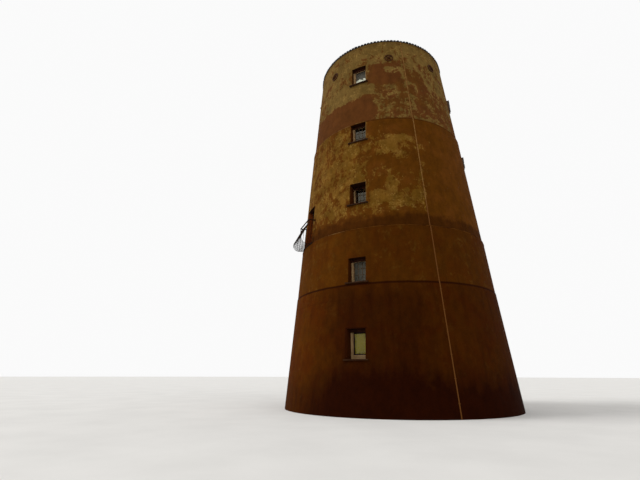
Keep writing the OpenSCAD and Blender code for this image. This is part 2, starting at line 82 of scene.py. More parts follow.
@dataclass(frozen=True)
class TowerForm:
    """The battered round wall that every piece is set against."""

    base_radius: float = 5.887
    top_radius: float = 3.882
    height: float = 20.33
    base_wall: float = 1.0
    top_wall: float = 0.6
    base_reveal: float = 0.5
    top_reveal: float = 0.28
    second_foot: float = 9.58
    second_extra: float = 0.19
    base_ledge: float = 0.02
    lift_ledge: float = 0.05

    @property
    def lifts(self) -> list[tuple[float, float, float, float]]:
        """Foot, head and how far each stands off the batter there, for every render lift."""
        base, lower, middle = self.ledges
        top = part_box("upper_wall_front")[1].z
        return [
            (0.0, base, 0.0, self.base_ledge / 2),
            (base, lower, -self.base_ledge / 2, self.lift_ledge / 2),
            (lower, middle, -self.lift_ledge / 2, self.lift_ledge / 2),
            (middle, top, -self.lift_ledge / 2, 0.0),
        ]

    @property
    def ledges(self) -> list[float]:
        """Levels of the three ledges between the render lifts."""
        return [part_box(f"{lift}_wall_front")[1].z for lift in ("base", "lower", "third")]

    @property
    def lean(self) -> float:
        """How far the batter leans in, in radians."""
        return math.atan((self.base_radius - self.top_radius) / self.height)

    def batter(self, level: float) -> float:
        """Radius of the straight batter at a level."""
        return self.base_radius - (self.base_radius - self.top_radius) * level / self.height

    def face(self, level: float) -> float:
        """Finds the wall's real outer radius, ledges included.

        Args:
            level: Height above the ground.

        Returns:
            The radius in metres.
        """
        for foot, head, foot_out, head_out in self.lifts:
            if level <= head:
                share = (level - foot) / (head - foot)
                return self.batter(level) + foot_out + (head_out - foot_out) * share
        return self.batter(level)

    def reach(self, level: float, across: float) -> float:
        """Finds how far out the wall's face is, beside the middle of a column of openings.

        Args:
            level: Height above the ground.
            across: Distance from the column's middle.

        Returns:
            The distance from the axis, along the column's own direction.
        """
        return math.sqrt(self.face(level) ** 2 - across ** 2)

    def inner(self, level: float) -> float:
        """Radius of the wall's inner face at a level."""
        return self.batter(level) - self.base_wall + (self.base_wall - self.top_wall) * level / self.height

    def frame_face(self, foot: float, opening: float) -> float:
        """Finds how far a window's or door's frame stands from the axis.

        Args:
            foot: Level at which the opening starts.
            opening: Height of the opening.

        Returns:
            The distance of the frame's outer face from the axis.
        """
        middle = foot + opening / 2
        reveal = self.base_reveal - (self.base_reveal - self.top_reveal) * middle / self.height
        extra = self.second_extra if math.isclose(foot, self.second_foot) else 0.0
        return self.batter(middle) - reveal - extra


@dataclass(frozen=True)
class Cloud:
    """A cloudy pattern: its features per metre, its finer layers, how strong those are, swirl and stretch."""

    scale: float
    detail: float = 4.0
    roughness: float = 0.6
    swirl: float = 0.0
    stretch: tuple[float, float, float] = EVEN


@dataclass
class Graph:
    """A node tree, with short calls for the nodes that the finishes share."""

    tree: bpy.types.NodeTree

    @property
    def shader(self) -> bpy.types.Node:
        """The surface shader that a new material comes with."""
        return self.tree.nodes["Principled BSDF"]

    def node(self, kind: str, **settings: object) -> bpy.types.Node:
        """Adds a node.

        Args:
            kind: The node's type name.
            **settings: Properties to set on it.

        Returns:
            The new node.
        """
        made = self.tree.nodes.new(kind)
        for name, value in settings.items():
            setattr(made, name, value)
        return made

    def feed(self, socket: bpy.types.NodeSocket, value: object) -> None:
        """Links a socket to an output, or sets its value.

        Args:
            socket: The input socket.
            value: An output socket, a number, a vector or a colour.
        """
        if isinstance(value, bpy.types.NodeSocket):
            self.tree.links.new(value, socket)
        else:
            socket.default_value = value

    def surface(self, colour: object, roughness: object, gloss: float = 0.5) -> None:
        """Sets the shader's colour, roughness and specular level.

        Args:
            colour: The colour, or its output socket.
            roughness: The roughness, or its output socket.
            gloss: The specular level, the same all over.
        """
        for name, value in (("Base Color", colour), ("Roughness", roughness), ("Specular IOR Level", gloss)):
            self.feed(self.shader.inputs[name], value)

    def place(self) -> bpy.types.NodeSocket:
        """Place on the object, in metres."""
        return self.node("ShaderNodeTexCoord").outputs["Object"]

    def normal(self) -> bpy.types.NodeSocket:
        """The surface's normal in the object's own directions."""
        return self.node("ShaderNodeTexCoord").outputs["Normal"]

    def parts(self, vector: object) -> tuple[bpy.types.NodeSocket, ...]:
        """Splits a vector into its three parts."""
        split = self.node("ShaderNodeSeparateXYZ")
        self.feed(split.inputs[0], vector)
        return tuple(split.outputs)

    def math(self, operation: str, *values: object, clamp: bool = False) -> bpy.types.NodeSocket:
        """Adds a sum on numbers.

        Args:
            operation: Blender's name of the operation.
            *values: Its inputs.
            clamp: Whether the result is kept between 0 and 1.

        Returns:
            The result's output socket.
        """
        made = self.node("ShaderNodeMath", operation=operation, use_clamp=clamp)
        for socket, value in zip(made.inputs, values):
            self.feed(socket, value)
        return made.outputs[0]

    def times(self, first: object, *others: object) -> bpy.types.NodeSocket:
        """Multiplies a number by others, one after another."""
        for other in others:
            first = self.math("MULTIPLY", first, other)
        return first

    def vector(self, operation: str, *values: object) -> bpy.types.Node:
        """Adds a sum on vectors and gives back its node."""
        made = self.node("ShaderNodeVectorMath", operation=operation)
        for socket, value in zip(made.inputs, values):
            self.feed(socket, value)
        return made

    def step(self, value: object, low: float, high: float, start: float = 0.0,
             end: float = 1.0) -> bpy.types.NodeSocket:
        """Maps a number from one range to another, easing in and out, and keeps it there.

        Args:
            value: The number.
            low: Where the range starts.
            high: Where the range ends.
            start: The result at low.
            end: The result at high.

        Returns:
            The result's output socket.
        """
        made = self.node("ShaderNodeMapRange", interpolation_type="SMOOTHSTEP")
        for name, item in (("Value", value), ("From Min", low), ("From Max", high), ("To Min", start),
                           ("To Max", end)):
            self.feed(made.inputs[name], item)
        return made.outputs["Result"]

    def within(self, value: object, low: float, high: float, soft: float,
               weight: float = 1.0) -> tuple[bpy.types.NodeSocket, bpy.types.NodeSocket]:
        """Makes the two soft edges of a range.

        Args:
            value: The number.
            low: Where the range starts.
            high: Where the range ends.
            soft: How far each edge spreads to both sides.
            weight: The second edge's value inside the range.

        Returns:
            The edges, to be multiplied.
        """
        return (self.step(value, low - soft, low + soft),
                self.step(value, high - soft, high + soft, weight, 0.0))

    def noise(self, coords: object, cloud: Cloud) -> bpy.types.NodeSocket:
        """Adds a cloudy pattern.

        Args:
            coords: Where the pattern is read.
            cloud: The pattern.

        Returns:
            Its strength, about 0.5 on average.
        """
        if cloud.stretch != EVEN:
            coords = self.vector("MULTIPLY", coords, cloud.stretch).outputs[0]
        made = self.node("ShaderNodeTexNoise", noise_dimensions="3D")
        for name, item in (("Vector", coords), ("Scale", cloud.scale), ("Detail", cloud.detail),
                           ("Roughness", cloud.roughness), ("Distortion", cloud.swirl)):
            self.feed(made.inputs[name], item)
        return made.outputs[0]

    def swing(self, coords: object, cloud: Cloud) -> bpy.types.NodeSocket:
        """Adds a cloudy pattern that swings to both sides of 0."""
        return self.math("SUBTRACT", self.noise(coords, cloud), 0.5)

    def mix(self, share: object, first: object, second: object) -> bpy.types.NodeSocket:
        """Mixes two colours.

        Args:
            share: How much of the second shows.
            first: The first colour.
            second: The second colour.

        Returns:
            The mixed colour's output socket.
        """
        made = self.node("ShaderNodeMix", data_type="RGBA")
        for index, value in ((0, share), (6, first), (7, second)):
            self.feed(made.inputs[index], value)
        return made.outputs[2]

    def shade(self, colour: object, strength: object) -> bpy.types.NodeSocket:
        """Multiplies a colour by a number or an output."""
        made = self.vector("SCALE", colour)
        self.feed(made.inputs["Scale"], strength)
        return made.outputs[0]

    def bump(self, height: object, depth: float, strength: float) -> None:
        """Lets a height raise and sink the surface.

        Args:
            height: The height, 0 to 1.
            depth: How far 1 stands above 0, in metres.
            strength: How much of the effect shows.
        """
        made = self.node("ShaderNodeBump")
        for name, item in (("Height", height), ("Distance", depth), ("Strength", strength)):
            self.feed(made.inputs[name], item)
        self.feed(self.shader.inputs["Normal"], made.outputs[0])


@dataclass(frozen=True)
class Finish:
    """A material. Each kind of finish paints its own nodes."""

    name: str

    def paint(self, graph: Graph) -> None:
        """Adds the finish's nodes and sets the shader's sockets."""
        raise NotImplementedError

    def material(self) -> bpy.types.Material:
        """Makes the material once and then gives the same one."""
        made = bpy.data.materials.get(f"{self.name}_finish")
        if made is None:
            made = bpy.data.materials.new(f"{self.name}_finish")
            made.use_nodes = True
            self.paint(Graph(made.node_tree))
        return made


@dataclass(frozen=True)
class Zone:
    """A stretch of wall, by its angles round the tower from +X in degrees and its levels in metres.

    Its level edges are soft over so many metres to both sides. Its upright edges are soft over so many
    degrees for each of these metres.
    """

    SPREAD: ClassVar[float] = 13.0
    ALL_ROUND: ClassVar[float] = 360.0

    start: float
    end: float
    foot: float
    head: float
    weight: float
    soft: float = 0.25

    def mask(self, graph: Graph, angle: object, level: object) -> bpy.types.NodeSocket:
        """Makes the zone's mask.

        Args:
            graph: The material's nodes.
            angle: The angle round the tower, in degrees.
            level: The height above the ground.

        Returns:
            The zone's weight inside it and 0 outside.
        """
        edges = graph.within(level, self.foot, self.head, self.soft, self.weight)
        if self.end - self.start < self.ALL_ROUND:
            edges += graph.within(angle, self.start, self.end, self.soft * self.SPREAD)
        return graph.times(*edges)


def belt(foot: float, head: float, weight: float, soft: float) -> Zone:
    """Makes a zone that goes all round the tower between two levels."""
    return Zone(-Zone.ALL_ROUND, Zone.ALL_ROUND, foot, head, weight, soft)


@dataclass(frozen=True)
class RenderFinish(Finish):
    """Old render: a brown coat with what is left of a paler skin on it, streaks, wet stains and dirt, and
    painted shade in places, at the ledges and in the openings.
    """

    PATCHES: ClassVar[Cloud] = Cloud(2.0, 8.0, 0.68, 0.6, (1.0, 1.0, 0.85))
    FLECKS: ClassVar[Cloud] = Cloud(8.5, stretch=(1.0, 1.0, 0.7))
    UPRIGHT: ClassVar[Cloud] = Cloud(1.0, 2.5, 0.5, 0.4, (5.2, 5.2, 2.6))
    LYING: ClassVar[Cloud] = Cloud(1.0, 2.5, 0.5, 0.4, (2.4, 2.4, 7.0))
    DABS: ClassVar[Cloud] = Cloud(13.0, 5.0, 0.68)
    BARE: ClassVar[Cloud] = Cloud(1.9, 3.0)
    TONES: ClassVar[Cloud] = Cloud(1.1, 5.0)
    BLOTCHES: ClassVar[Cloud] = Cloud(3.1, stretch=(1.0, 1.0, 0.7))
    GRAIN: ClassVar[Cloud] = Cloud(24.0, 4.0, 0.7)
    RUNS: ClassVar[Cloud] = Cloud(2.6, stretch=(1.0, 1.0, 0.09))
    WANDER: ClassVar[Cloud] = Cloud(2.0, 5.0, 0.65)
    SAND: ClassVar[Cloud] = Cloud(110.0, 3.0, 0.7)
    WAVES: ClassVar[Cloud] = Cloud(3.4, 4.0, 0.55)

    SKIN_EDGE: ClassVar[Ramp] = (0.48, 0.56, 0.0, 0.85)
    NEAR_SKIN: ClassVar[Ramp] = (0.38, 0.50, 0.0)
    DAB_EDGE: ClassVar[Ramp] = (0.42, 0.60)
    BARE_EDGE: ClassVar[Ramp] = (0.44, 0.56)
    RED_EDGE: ClassVar[Ramp] = (0.42, 0.62)
    PALE_EDGE: ClassVar[Ramp] = (0.36, 0.62)
    RUN_EDGE: ClassVar[Ramp] = (0.42, 0.7)
    WORN_GRAIN: ClassVar[Ramp] = (0.25, 0.6, 0.7, 1.0)
    GRAIN_LIGHT: ClassVar[Ramp] = (0.2, 0.8, 0.9, 1.1)
    BLOTCH_LIGHT: ClassVar[Ramp] = (0.3, 0.7, -0.13, 0.13)
    TONE_LIGHT: ClassVar[Ramp] = (0.3, 0.7, -0.07, 0.07)
    INSIDE: ClassVar[Ramp] = (-0.8, -0.6, 1.0, 0.0)
    BESIDE: ClassVar[Ramp] = (0.3, 0.6, 1.0, 0.0)
    OVERHEAD: ClassVar[Ramp] = (-0.9, -0.6, 1.0, 0.0)
    SKIN_ROUGHNESS: ClassVar[Ramp] = (0.0, 1.0, 0.96, 0.88)
    STROKE_CORE: ClassVar[float] = 0.2
    STROKE_RIM: ClassVar[float] = 1.25
    SAND_RELIEF: ClassVar[float] = 0.12
    SKIN_RELIEF: ClassVar[float] = 0.16
    RELIEF: ClassVar[float] = 0.035
    UPRIGHT_WIDTH: ClassVar[float] = 0.05
    LYING_WIDTH: ClassVar[float] = 0.06
    ZONE_PULL: ClassVar[float] = 0.34
    FLECK_PULL: ClassVar[float] = 0.38
    ANGLE_WANDER: ClassVar[float] = 18.0
    LEVEL_WANDER: ClassVar[float] = 1.1
    LINE_WANDER: ClassVar[float] = 0.06
    JAMB_SHADE_SHARE: ClassVar[float] = 0.75
    GLOSS: ClassVar[float] = 0.03

    brown: Colour = tone(82, 46, 5)
    red_brown: Colour = tone(86, 48, 9)
    skin: Colour = tone(111, 79, 27)
    skin_olive: Colour = tone(96, 67, 16)
    stroke: Colour = tone(136, 104, 48)
    # Colour of streaks, wet stains, painted shade and the dark lines.
    dark: Colour = tone(44, 17, 1)
    # Painted shade on the jambs, darker than the wall, and a lighter, redder painted shade on doorway jambs.
    jamb: Colour = tone(62, 27, 4)
    door_jamb_shade: Colour = tone(124, 56, 22)
    # Painted shade on the openings' undersides.
    soffit_shade: Colour = tone(44, 20, 8)
    lining: Colour = tone(150, 142, 124)
    skin_share: float = 0.5
    strokes: float = 0.8
    streaks: float = 0.12
    skin_zones: tuple[Zone, ...] = ()
    damp_and_shade_zones: tuple[Zone, ...] = ()
    red_zones: tuple[Zone, ...] = ()
    doorways: tuple[Zone, ...] = ()
    level_strokes: tuple[Zone, ...] = ()
    # Dark lines: partly painted shadow at the ledges, partly dirt lying on them, and other thin dark marks.
    lines: tuple[Zone, ...] = ()

    def zones(self, graph: Graph, angle: object, level: object, zones: Iterable[Zone]) -> object:
        """Adds up the masks of several zones."""
        total: object = 0.0
        for zone in zones:
            total = graph.math("ADD", total, zone.mask(graph, angle, level))
        return total

    def worms(self, graph: Graph, place: object, cloud: Cloud, wide: float) -> object:
        """Draws thin wandering strokes, broken into dabs, where a cloudy pattern crosses its middle value."""
        away = graph.math("ABSOLUTE", graph.swing(place, cloud))
        dabs = graph.step(graph.noise(place, self.DABS), *self.DAB_EDGE)
        line = graph.step(away, wide * self.STROKE_CORE, wide * self.STROKE_RIM, 1.0, 0.0)
        return graph.times(line, dabs)

    def skin_field(self, graph: Graph, place: object, angle: object, level: object) -> bpy.types.NodeSocket:
        """Finds where the paler skin is left.

        Args:
            graph: The material's nodes.
            place: Place on the wall.
            angle: The angle round the tower, in degrees.
            level: The height above the ground.

        Returns:
            A cloudy number that is above a half where there is skin.
        """
        patches = graph.noise(place, self.PATCHES)
        share = graph.math("ADD", self.zones(graph, angle, level, self.skin_zones), self.skin_share - 0.5)
        nearness = graph.math("MULTIPLY_ADD", share, self.ZONE_PULL, patches)
        return graph.math("MULTIPLY_ADD", graph.swing(place, self.FLECKS), self.FLECK_PULL, nearness)

    def stroke_mask(self, graph: Graph, place: object, angle: object, level: object,
                    nearness: object) -> object:
        """Finds the pale strokes, which lie level in some zones and stand upright elsewhere.

        Args:
            graph: The material's nodes.
            place: Place on the wall.
            angle: The angle round the tower, in degrees.
            level: The height above the ground.
            nearness: How near the skin is.

        Returns:
            How much of a stroke shows, 0 to 1.
        """
        upright = self.worms(graph, place, self.UPRIGHT, self.UPRIGHT_WIDTH)
        lying = self.worms(graph, place, self.LYING, self.LYING_WIDTH)
        lie = self.zones(graph, angle, level, self.level_strokes)
        stand = graph.math("SUBTRACT", 1.0, lie)
        stroke = graph.math("MAXIMUM", graph.times(upright, stand), graph.times(lying, lie))
        kept = graph.step(graph.noise(place, self.BARE), *self.BARE_EDGE)
        return graph.times(stroke, kept, graph.step(nearness, *self.NEAR_SKIN, self.strokes))

    def coat(self, graph: Graph, place: object, angle: object, level: object, skin: object,
             stroke: object) -> bpy.types.NodeSocket:
        """Mixes the coat and its skin, and lays dirt, wet stains and painted shade over both.

        Args:
            graph: The material's nodes.
            place: Place on the wall.
            angle: The angle round the tower, in degrees.
            level: The height above the ground.
            skin: How much skin shows.
            stroke: How much of a stroke shows.

        Returns:
            The outer face's colour.
        """
        cloud, grain = graph.noise(place, self.TONES), graph.noise(place, self.GRAIN)
        reds = self.zones(graph, angle, level, self.red_zones)
        redness = graph.math("ADD", graph.step(cloud, *self.RED_EDGE), reds, clamp=True)
        coat = graph.mix(redness, self.brown, self.red_brown)
        pale = graph.mix(graph.step(cloud, *self.PALE_EDGE), self.skin_olive, self.skin)
        colour = graph.mix(graph.times(skin, graph.step(grain, *self.WORN_GRAIN)), coat, pale)
        colour = graph.mix(stroke, colour, self.stroke)
        streaks = graph.times(graph.step(graph.noise(place, self.RUNS), *self.RUN_EDGE), self.streaks)
        # Wet stains, with painted shade where a zone stands for it, darken the colour along with the streaks.
        damp_and_shade = self.zones(graph, angle, level, self.damp_and_shade_zones)
        colour = graph.mix(graph.math("ADD", streaks, damp_and_shade, clamp=True), colour, self.dark)
        blotch = graph.noise(place, self.BLOTCHES)
        lightness = graph.step(grain, *self.GRAIN_LIGHT)
        for pattern, light in ((blotch, self.BLOTCH_LIGHT), (cloud, self.TONE_LIGHT)):
            lightness = graph.math("ADD", lightness, graph.step(pattern, *light))
        return graph.shade(colour, lightness)

    def openings(self, graph: Graph, place: object, colour: object, door: object) -> bpy.types.NodeSocket:
        """Paints shade on jambs and on the openings' undersides as darker colours, and paints the wall's
        inner face pale.

        Args:
            graph: The material's nodes.
            place: Place on the wall.
            colour: The outer face's colour.
            door: Where the jambs are a doorway's, whose painted shade is redder and lighter.

        Returns:
            The colour of every face of the wall.
        """
        flat = graph.vector("MULTIPLY", place, (1.0, 1.0, 0.0)).outputs[0]
        outward = graph.vector("NORMALIZE", flat).outputs[0]
        normal = graph.normal()
        facing = graph.vector("DOT_PRODUCT", outward, normal).outputs["Value"]
        inside = graph.step(facing, *self.INSIDE)
        beside = graph.step(graph.math("ABSOLUTE", facing), *self.BESIDE)
        overhead_shade = graph.step(graph.parts(normal)[2], *self.OVERHEAD)
        # Painted shade: faces beside an opening take the jamb colour, and faces looking down take a darker
        # one.
        jamb = graph.mix(self.JAMB_SHADE_SHARE, colour, graph.mix(door, self.jamb, self.door_jamb_shade))
        colour = graph.mix(overhead_shade, graph.mix(beside, colour, jamb), self.soffit_shade)
        return graph.mix(inside, colour, self.lining)

    def paint(self, graph: Graph) -> None:
        """Paints the outer face, the openings' sides and the inside of the wall."""
        place = graph.place()
        east, north, true_level = graph.parts(place)
        true_angle = graph.times(graph.math("ARCTAN2", north, east), math.degrees(1.0))
        wander = graph.swing(place, self.WANDER)
        angle, level, line_level = (
            graph.math("MULTIPLY_ADD", wander, reach, true)
            for reach, true in ((self.ANGLE_WANDER, true_angle), (self.LEVEL_WANDER, true_level),
                                (self.LINE_WANDER, true_level)))
        nearness = self.skin_field(graph, place, angle, level)
        skin = graph.step(nearness, *self.SKIN_EDGE)
        stroke = self.stroke_mask(graph, place, angle, level, nearness)
        colour = self.coat(graph, place, angle, level, skin, stroke)
        # Dark lines, mostly painted shadow at the ledges.
        colour = graph.mix(self.zones(graph, true_angle, line_level, self.lines), colour, self.dark)
        door = self.zones(graph, true_angle, true_level, self.doorways)
        graph.surface(self.openings(graph, place, colour, door), graph.step(skin, *self.SKIN_ROUGHNESS),
                      self.GLOSS)
        sand, wave = graph.noise(place, self.SAND), graph.noise(place, self.WAVES)
        relief = graph.math("MULTIPLY_ADD", sand, self.SAND_RELIEF, graph.times(skin, self.SKIN_RELIEF))
        graph.bump(graph.math("ADD", relief, wave), self.RELIEF, 0.6)


@dataclass(frozen=True)
class StoneFinish(Finish):
    """Cut stone or slate, mottled and rain-stained."""

    MOTTLE: ClassVar[Ramp] = (0.36, 0.62)
    GRAIN_LIGHT: ClassVar[Ramp] = (0.2, 0.8, 0.8, 1.2)

    fresh: Colour = tone(60, 58, 54)
    stained: Colour = tone(28, 27, 26)
    scale: float = 6.0
    grain_scale: float = 12.0
    roughness: float = 0.85
    relief: float = 0.004
    gloss: float = 0.1

    def paint(self, graph: Graph) -> None:
        """Mixes fresh and stained stone by a cloudy pattern, with a fine grain."""
        place = graph.place()
        cloud = graph.noise(place, Cloud(self.scale, 6.0, 0.65, 0.3))
        grain = graph.noise(place, Cloud(self.scale * self.grain_scale, 3.0, 0.7))
        colour = graph.mix(graph.step(cloud, *self.MOTTLE), self.stained, self.fresh)
        colour = graph.shade(colour, graph.step(grain, *self.GRAIN_LIGHT))
        graph.surface(colour, self.roughness, self.gloss)
        graph.bump(graph.math("MULTIPLY_ADD", grain, 0.5, cloud), self.relief, 0.6)


@dataclass(frozen=True)
class PaintFinish(Finish):
    """Brushed paint, chalky with age and dirty in places."""

    CLOUDS: ClassVar[Cloud] = Cloud(5.0, 5.0, 0.65)
    BRUSH: ClassVar[Cloud] = Cloud(90.0, 3.0, stretch=(1.0, 1.0, 0.12))
    DIRT_EDGE: ClassVar[Ramp] = (0.45, 0.7)
    CHALK_EDGE: ClassVar[Ramp] = (0.3, 0.7)
    BRUSH_LIGHT: ClassVar[Ramp] = (0.2, 0.8, 0.93, 1.05)
    RELIEF: ClassVar[float] = 0.0008

    paint_colour: Colour = tone(172, 141, 98)
    dirt_colour: Colour = tone(104, 76, 42)
    dirt: float = 0.4
    roughness: float = 0.5
    chalk: float = 0.2
    gloss: float = 0.3

    def paint(self, graph: Graph) -> None:
        """Lays dirt over the paint along the brush marks and in clouds."""
        place = graph.place()
        cloud, brush = graph.noise(place, self.CLOUDS), graph.noise(place, self.BRUSH)
        share = graph.times(graph.step(cloud, *self.DIRT_EDGE), self.dirt)
        colour = graph.mix(share, self.paint_colour, self.dirt_colour)
        chalky = graph.step(cloud, *self.CHALK_EDGE, self.roughness, self.roughness + self.chalk)
        graph.surface(graph.shade(colour, graph.step(brush, *self.BRUSH_LIGHT)), chalky, self.gloss)
        graph.bump(brush, self.RELIEF, 0.5)


@dataclass(frozen=True)
class GlassFinish(Finish):
    """Window glass with the dark room behind painted on it as shade, and a pale painted reflection of the sky
    low on the top storey's front panes.

    The first storey's panes are dull with dust, and the ground storey's are clear enough to show the blind.
    """

    RIPPLES: ClassVar[Cloud] = Cloud(2.5, 2.0, 0.5)
    DUST: ClassVar[Cloud] = Cloud(14.0, 5.0, 0.7)
    TEAR: ClassVar[Cloud] = Cloud(5.0)
    TEAR_DEPTH: ClassVar[float] = 0.7
    FRONT: ClassVar[Ramp] = (-3.2, -2.8, 1.0, 0.0)
    FIRST_STOREY: ClassVar[Span] = (5.1, 7.5)
    GROUND_EDGE: ClassVar[Span] = (4.0, 5.0)
    SOFT: ClassVar[float] = 0.1
    DUST_LIGHT: ClassVar[Ramp] = (0.3, 0.8, 0.8, 1.15)
    DUST_ROUGHNESS: ClassVar[Ramp] = (0.4, 0.9, 0.0, 0.1)
    RELIEF: ClassVar[float] = 0.002

    # Painted shade: the dark room behind, laid on glass that is mostly opaque.
    dark_room_shade: Colour = tone(22, 17, 10)
    # Painted reflection: the pale sky seen in the top storey's lower panes.
    painted_reflection: Colour = tone(232, 238, 216)
    painted_reflection_foot: float = 17.0
    painted_reflection_head: float = 17.93
    mirror: float = 1.75
    clean_roughness: float = 0.02
    dull_roughness: float = 0.5
    # Painted light: a warm colour on every reflection from the glass.
    sheen: Colour = (1.0, 0.93, 0.74, 1.0)
    solid: float = 0.85
    ground_solid: float = 0.25

    def painted_reflection_mask(self, graph: Graph, place: object, level: object) -> object:
        """Finds where the painted reflection lies on the front panes, with its torn upper edge.

        Args:
            graph: The material's nodes.
            place: Place on the glass.
            level: The height above the ground.

        Returns:
            How much of the painted reflection shows, 0 to 1.
        """
        edge = graph.math("MULTIPLY_ADD", graph.swing(place, self.TEAR), self.TEAR_DEPTH, level)
        left = graph.step(edge, self.painted_reflection_head - 0.03, self.painted_reflection_head + 0.05, 1.0, 0.0)
        front = graph.step(graph.parts(place)[1], *self.FRONT)
        return graph.times(left, graph.step(level, self.painted_reflection_foot, self.painted_reflection_foot + self.SOFT), front)

    def paint(self, graph: Graph) -> None:
        """Sets a dark, softly mirroring surface with faint ripples, dust, the room's painted shade and the
        painted reflection.
        """
        place = graph.place()
        level = graph.parts(place)[2]
        ripple, dust = graph.noise(place, self.RIPPLES), graph.noise(place, self.DUST)
        painted_reflection = self.painted_reflection_mask(graph, place, level)
        colour = graph.shade(graph.mix(painted_reflection, self.dark_room_shade, self.painted_reflection), graph.step(dust, *self.DUST_LIGHT))
        top = graph.step(level, self.painted_reflection_foot, self.painted_reflection_foot + self.SOFT, self.clean_roughness,
                         self.dull_roughness)
        first = graph.times(*graph.within(level, *self.FIRST_STOREY, self.SOFT), self.dull_roughness)
        dull = graph.math("ADD", top, first)
        graph.surface(colour, graph.math("ADD", graph.step(dust, *self.DUST_ROUGHNESS), dull))
        graph.feed(graph.shader.inputs["IOR"], self.mirror)
        graph.feed(graph.shader.inputs["Specular Tint"], self.sheen)
        # Opacity lets the painted shade and the painted reflection cover the panes; the ground storey's panes
        # show the blind.
        clear = graph.step(level, *self.GROUND_EDGE, self.ground_solid, self.solid)
        graph.feed(graph.shader.inputs["Alpha"], graph.math("MAXIMUM", clear, painted_reflection))
        graph.bump(ripple, self.RELIEF, 0.06)


@dataclass(frozen=True)
class MetalFinish(Finish):
    """Iron or strip metal, painted or rusted, and dull below a level where one is given."""

    CLOUDS: ClassVar[Cloud] = Cloud(9.0, 6.0, 0.7)
    GRAIN: ClassVar[Cloud] = Cloud(140.0, 3.0, 0.7)
    GRAIN_LIGHT: ClassVar[Ramp] = (0.2, 0.8, 0.8, 1.25)
    SOUND_EDGE: ClassVar[float] = 0.68
    RUST_PULL: ClassVar[float] = 0.4
    EDGE_SOFT: ClassVar[float] = 0.06
    DULL_SOFT: ClassVar[float] = 0.5
    RELIEF: ClassVar[float] = 0.0015

    sound: Colour = tone(24, 22, 21)
    rust: Colour = tone(82, 44, 22)
    rusted: float = 0.15
    roughness: float = 0.5
    rust_roughness: float = 0.9
    gloss: float = 0.15
    dull_level: float | None = None
    dull: Colour = tone(96, 58, 22)

    def paint(self, graph: Graph) -> None:
        """Lets rust through the coat in clouds, rougher than what is sound."""
        place = graph.place()
        cloud, grain = graph.noise(place, self.CLOUDS), graph.noise(place, self.GRAIN)
        edge = self.SOUND_EDGE - self.RUST_PULL * self.rusted
        share = graph.step(cloud, edge - self.EDGE_SOFT, edge + self.EDGE_SOFT)
        colour = graph.mix(share, self.sound, self.rust)
        if self.dull_level is not None:
            level = graph.parts(place)[2]
            low = graph.step(level, self.dull_level - self.DULL_SOFT, self.dull_level + self.DULL_SOFT,
                             1.0, 0.0)
            colour = graph.mix(low, colour, self.dull)
        graph.surface(graph.shade(colour, graph.step(grain, *self.GRAIN_LIGHT)),
                      graph.step(share, 0.0, 1.0, self.roughness, self.rust_roughness), self.gloss)
        graph.bump(graph.math("MULTIPLY_ADD", grain, 0.4, share), self.RELIEF, 0.6)


@dataclass(frozen=True)
class TimberFinish(Finish):
    """Timber with its grain along one axis, and joints where it is laid in boards."""

    CLOUDS: ClassVar[Cloud] = Cloud(1.8)
    GRAIN_EDGE: ClassVar[Ramp] = (0.35, 0.65)
    CLOUD_LIGHT: ClassVar[Ramp] = (0.3, 0.7, 0.8, 1.15)
    RELIEF: ClassVar[float] = 0.0015
    JOINT: ClassVar[float] = 0.006
    JOINT_SHADE: ClassVar[float] = 0.25
    JOINT_DEPTH: ClassVar[float] = 3.0

    pale: Colour = tone(120, 86, 52)
    deep: Colour = tone(72, 46, 26)
    along: tuple[float, float, float] = (1.0, 1.0, 0.06)
    board: float = 0.0
    roughness: float = 0.6

    def paint(self, graph: Graph) -> None:
        """Draws the grain, and the joints between boards where the finish has boards."""
        place = graph.place()
        grain = graph.noise(place, Cloud(38.0, 6.0, 0.6, 0.8, self.along))
        colour = graph.mix(graph.step(grain, *self.GRAIN_EDGE), self.deep, self.pale)
        colour = graph.shade(colour, graph.step(graph.noise(place, self.CLOUDS), *self.CLOUD_LIGHT))
        relief = grain
        if self.board > 0:
            across = graph.math("PINGPONG", graph.parts(place)[0], self.board / 2)
            joint = graph.step(across, 0.0, self.JOINT)
            colour = graph.shade(colour, graph.step(joint, 0.0, 1.0, self.JOINT_SHADE, 1.0))
            relief = graph.math("MULTIPLY_ADD", joint, self.JOINT_DEPTH, grain)
        graph.surface(colour, self.roughness)
        graph.bump(relief, self.RELIEF, 0.7)


@dataclass(frozen=True)
class RoofFinish(Finish):
    """Asphalt or lead laid on the roof, dusty, with puddle marks."""

    PUDDLES: ClassVar[Cloud] = Cloud(0.8, 6.0, 0.62, 0.6)
    GRIT: ClassVar[Cloud] = Cloud(60.0, 3.0, 0.8)
    DUST_EDGE: ClassVar[Ramp] = (0.42, 0.62)
    GRIT_LIGHT: ClassVar[Ramp] = (0.2, 0.8, 0.8, 1.2)
    DUST_ROUGHNESS: ClassVar[Ramp] = (0.4, 0.6, 0.7, 0.92)
    RELIEF: ClassVar[float] = 0.004

    sheet: Colour = tone(72, 72, 74)
    dust: Colour = tone(94, 90, 82)

    def paint(self, graph: Graph) -> None:
        """Lays dust over the sheet in broad clouds with a fine grit."""
        place = graph.place()
        cloud, grit = graph.noise(place, self.PUDDLES), graph.noise(place, self.GRIT)
        colour = graph.mix(graph.step(cloud, *self.DUST_EDGE), self.sheet, self.dust)
        graph.surface(graph.shade(colour, graph.step(grit, *self.GRIT_LIGHT)),
                      graph.step(cloud, *self.DUST_ROUGHNESS))
        graph.bump(graph.math("MULTIPLY_ADD", grit, 0.3, cloud), self.RELIEF, 0.6)


